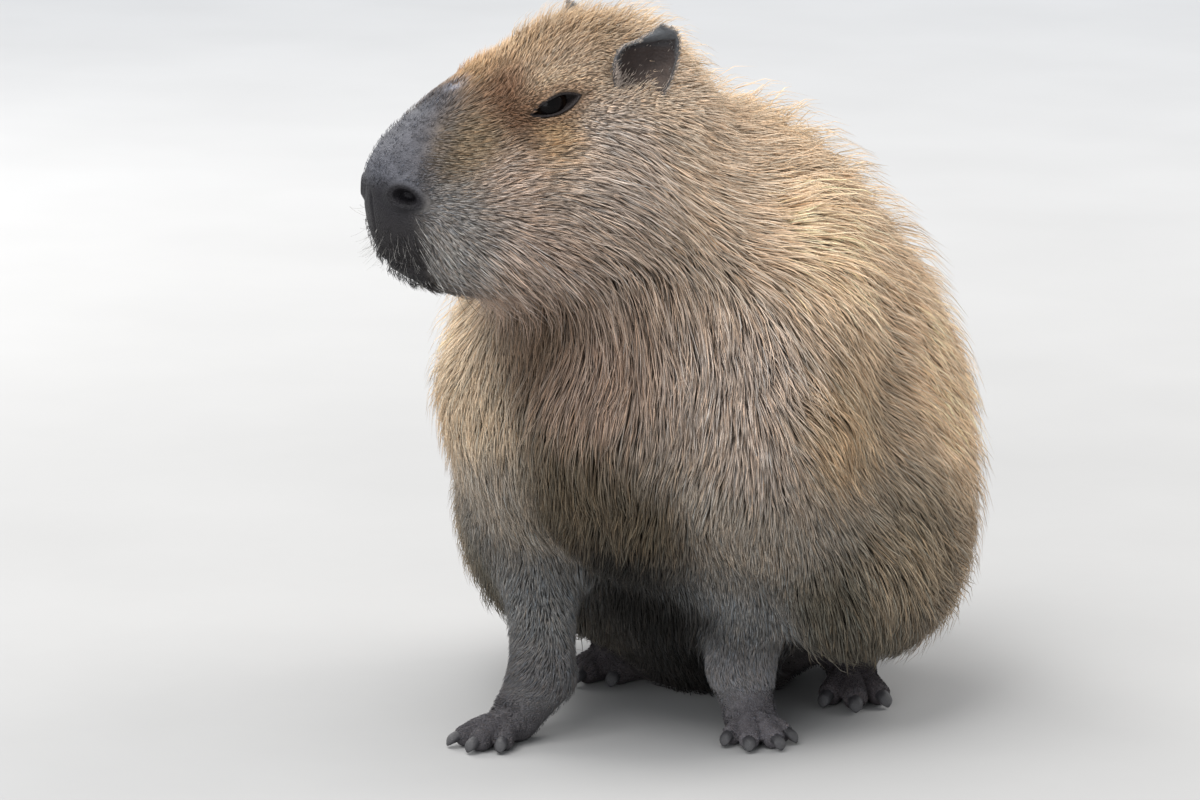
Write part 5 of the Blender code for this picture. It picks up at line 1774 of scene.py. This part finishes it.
def make_claws(side, fore):
    """The claws of one foot, in one piece."""
    foot = "fore" if fore else "hind"
    points, faces, near, nodes = [], [], [], []
    for number, (_, tip, way) in enumerate(toes_of(side, fore), 1):
        start = len(points)
        corners, shape, tips = claw_shape(tip, way, 1.0 if fore else 1.15)
        points += corners
        near += tips
        faces += [tuple(corner + start for corner in face) for face in shape]
        nodes.append("claw_" + foot + "_" + SIDE_NAMES[side] + "_" + str(number))
    name = "claws_" + foot + "_" + SIDE_NAMES[side]
    item = faces_object(name, points, faces, material(claw_finish), (("Tip", np.array(near)),))
    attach(item, "root")
    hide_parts(*nodes)
    return item


# The stage and the camera

PHOTO_SIZE = (1200, 800)
PHOTO_SCALE = 1180.0
PHOTO_FLOOR = (645.0, 740.0)


def make_stage(stage):
    """Pale floor, soft light from above, behind and in front, and the camera."""
    reach = 30.0
    signs = ((-1, -1), (1, -1), (1, 1), (-1, 1))
    corners = [vec(x * reach, y * reach, 0) - SHIFT for x, y in signs]
    floor = faces_object("floor", corners, [(0, 1, 2, 3)], material(floor_finish))
    lights = (
        ("key", stage.key_power, 2.6, (-0.4, -1.3, 3.4), (1.0, 0.985, 0.965)),
        ("rim", stage.rim_power, 1.8, (2.0, 1.8, 2.6), (1.0, 0.97, 0.93)),
        ("far_rim", 0.8 * stage.rim_power, 1.8, (-2.6, 1.2, 2.2), (1.0, 0.98, 0.95)),
        ("fill", stage.fill_power, 2.4, (0.4, -4.3, 0.9), (0.98, 0.99, 1.0)),
    )
    for name, power, size, place, colour in lights:
        light = bpy.data.lights.new(name, "AREA")
        light.energy, light.size, light.color = power, size, colour
        lamp = bpy.data.objects.new(name, light)
        lamp.location = place
        lamp.rotation_euler = (Vector((0, 0, 0.3)) - Vector(place)).to_track_quat("-Z", "Y").to_euler()
        bpy.context.scene.collection.objects.link(lamp)
    world = bpy.data.worlds.new("soft_sky")
    world.use_nodes = True
    sky = world.node_tree.nodes["Background"]
    sky.inputs["Color"].default_value = (0.93, 0.96, 1.0, 1.0)
    sky.inputs["Strength"].default_value = stage.sky
    scene = bpy.context.scene
    scene.world = world
    scene.view_settings.view_transform = "Standard"
    a, e = stage.azimuth, stage.elevation
    right = Vector((math.cos(a), math.sin(a), 0))
    upward = Vector((-math.sin(a) * math.sin(e), math.cos(a) * math.sin(e), math.cos(e)))
    away = Vector((math.sin(a) * math.cos(e), -math.cos(a) * math.cos(e), math.sin(e)))
    across = (PHOTO_SIZE[0] / 2 - PHOTO_FLOOR[0]) / PHOTO_SCALE
    rise = (PHOTO_FLOOR[1] - PHOTO_SIZE[1] / 2) / PHOTO_SCALE
    target = right * across + upward * rise + Vector(SHIFT)
    view = bpy.data.cameras.new("camera")
    view.sensor_width = 36.0
    view.lens = view.sensor_width * stage.distance * PHOTO_SCALE / PHOTO_SIZE[0]
    camera = bpy.data.objects.new("camera", view)
    camera.location = target + away * stage.distance
    camera.rotation_euler = (-away).to_track_quat("-Z", "Y").to_euler()
    scene.collection.objects.link(camera)
    scene.camera = camera


# Properties, operators and panel

class CoatSizes(bpy.types.PropertyGroup):
    """Sizes of the hair and the whiskers."""

    cover: FloatProperty(
        name="Cover",
        description="How many times over the long hair covers the skin",
        default=5.6, min=1.0, max=12.0
    )
    face_cover: FloatProperty(
        name="Face cover",
        description="How many times over the short hair covers the head",
        default=5.0, min=1.0, max=12.0
    )
    least_length: FloatProperty(
        name="Least length", description="Length of the shortest hair", default=0.0035, unit="LENGTH"
    )
    length_per_depth: FloatProperty(
        name="Length per depth", description="Added length for each unit of the coat's depth", default=2.25
    )
    least_width: FloatProperty(
        name="Least width", description="Width of the finest hair", default=0.00064, unit="LENGTH"
    )
    width_per_length: FloatProperty(
        name="Width per length", description="Added width for each unit of length", default=0.0112
    )
    clump: FloatProperty(
        name="Clump",
        description="How far the tips of a tuft are drawn together",
        default=0.44, min=0.0, max=1.0
    )
    tuft_share: FloatProperty(
        name="Tuft share",
        description="Share of the hairs that are the middle of a tuft",
        default=0.10, min=0.01, max=1.0
    )
    guard_share: FloatProperty(
        name="Guard share",
        description="Share of longer hairs that stand out of the long coat",
        default=0.09, min=0.0, max=1.0
    )
    bristle_radius: FloatProperty(
        name="Bristle radius", description="Root radius of a whisker of one metre", default=0.0034
    )
    seed: IntProperty(name="Seed", description="Seed of everything random in the coat", default=5)


class StageSettings(bpy.types.PropertyGroup):
    """Lights and the camera's angle."""

    azimuth: FloatProperty(
        name="Azimuth",
        description="Angle of the camera from straight ahead",
        default=math.radians(24.0), subtype="ANGLE"
    )
    elevation: FloatProperty(
        name="Elevation",
        description="Height of the camera as an angle",
        default=math.radians(12.0), subtype="ANGLE"
    )
    distance: FloatProperty(
        name="Distance", description="Distance from the camera to the animal", default=5.0, unit="LENGTH"
    )
    key_power: FloatProperty(name="Key", description="Power of the light above", default=150.0, unit="POWER")
    rim_power: FloatProperty(name="Rim", description="Power of the light behind", default=74.0, unit="POWER")
    fill_power: FloatProperty(
        name="Fill", description="Power of the light in front", default=86.0, unit="POWER"
    )
    sky: FloatProperty(name="Sky", description="Strength of the light from all around", default=0.72)


class CAPYBARA_OT_skin(bpy.types.Operator):
    """Make the skin with its lids, nostrils and lips"""

    bl_idname = "capybara.skin"
    bl_label = "Skin"

    def execute(self, context):
        make_skin()
        return {"FINISHED"}


class CAPYBARA_OT_coat(bpy.types.Operator):
    """Cover the skin with hair"""

    bl_idname = "capybara.coat"
    bl_label = "Coat"

    def execute(self, context):
        make_coat(context.scene.capybara_coat)
        return {"FINISHED"}


class CAPYBARA_OT_whiskers(bpy.types.Operator):
    """Set the whiskers and the lip bristles"""

    bl_idname = "capybara.whiskers"
    bl_label = "Whiskers"

    def execute(self, context):
        make_bristles(context.scene.capybara_coat)
        return {"FINISHED"}


class CAPYBARA_OT_ears(bpy.types.Operator):
    """Make both ears and their fine hair"""

    bl_idname = "capybara.ears"
    bl_label = "Ears"

    def execute(self, context):
        for side in SIDES:
            make_ear_hair(side, *make_ear(side), context.scene.capybara_coat)
        return {"FINISHED"}


class CAPYBARA_OT_eyes(bpy.types.Operator):
    """Make both eyes"""

    bl_idname = "capybara.eyes"
    bl_label = "Eyes"

    def execute(self, context):
        for side in SIDES:
            make_eye(side)
        return {"FINISHED"}


class CAPYBARA_OT_claws(bpy.types.Operator):
    """Make the claws of each foot"""

    bl_idname = "capybara.claws"
    bl_label = "Claws"

    def execute(self, context):
        for side, fore in FEET:
            make_claws(side, fore)
        return {"FINISHED"}


class CAPYBARA_OT_stage(bpy.types.Operator):
    """Lay the floor and set the lights and the camera"""

    bl_idname = "capybara.stage"
    bl_label = "Stage"

    def execute(self, context):
        make_stage(context.scene.capybara_stage)
        return {"FINISHED"}


OPERATORS = (
    CAPYBARA_OT_stage, CAPYBARA_OT_skin, CAPYBARA_OT_eyes, CAPYBARA_OT_ears, CAPYBARA_OT_claws,
    CAPYBARA_OT_whiskers, CAPYBARA_OT_coat,
)


class CAPYBARA_PT_panel(bpy.types.Panel):
    """Lists the sizes and the pieces"""

    bl_idname = "CAPYBARA_PT_panel"
    bl_label = "Capybara"
    bl_space_type = "VIEW_3D"
    bl_region_type = "UI"
    bl_category = "Capybara"

    def draw(self, context):
        column = self.layout.column()
        for group in (context.scene.capybara_coat, context.scene.capybara_stage):
            for label in group.bl_rna.properties.keys():
                if label not in ("rna_type", "name"):
                    column.prop(group, label)
        for operator in OPERATORS:
            column.operator(operator.bl_idname)


CLASSES = (CoatSizes, StageSettings, *OPERATORS, CAPYBARA_PT_panel)


def register():
    """Add the settings, the operators and the panel to Blender."""
    for item in CLASSES:
        bpy.utils.register_class(item)
    bpy.types.Scene.capybara_coat = PointerProperty(type=CoatSizes)
    bpy.types.Scene.capybara_stage = PointerProperty(type=StageSettings)


def unregister():
    """Take them away again."""
    del bpy.types.Scene.capybara_coat
    del bpy.types.Scene.capybara_stage
    for item in reversed(CLASSES):
        bpy.utils.unregister_class(item)


def main():
    """Make every piece by its operator."""
    register()
    for operator in OPERATORS:
        group, name = operator.bl_idname.split(".")
        getattr(getattr(bpy.ops, group), name)()


if __name__ == "__main__":
    main()
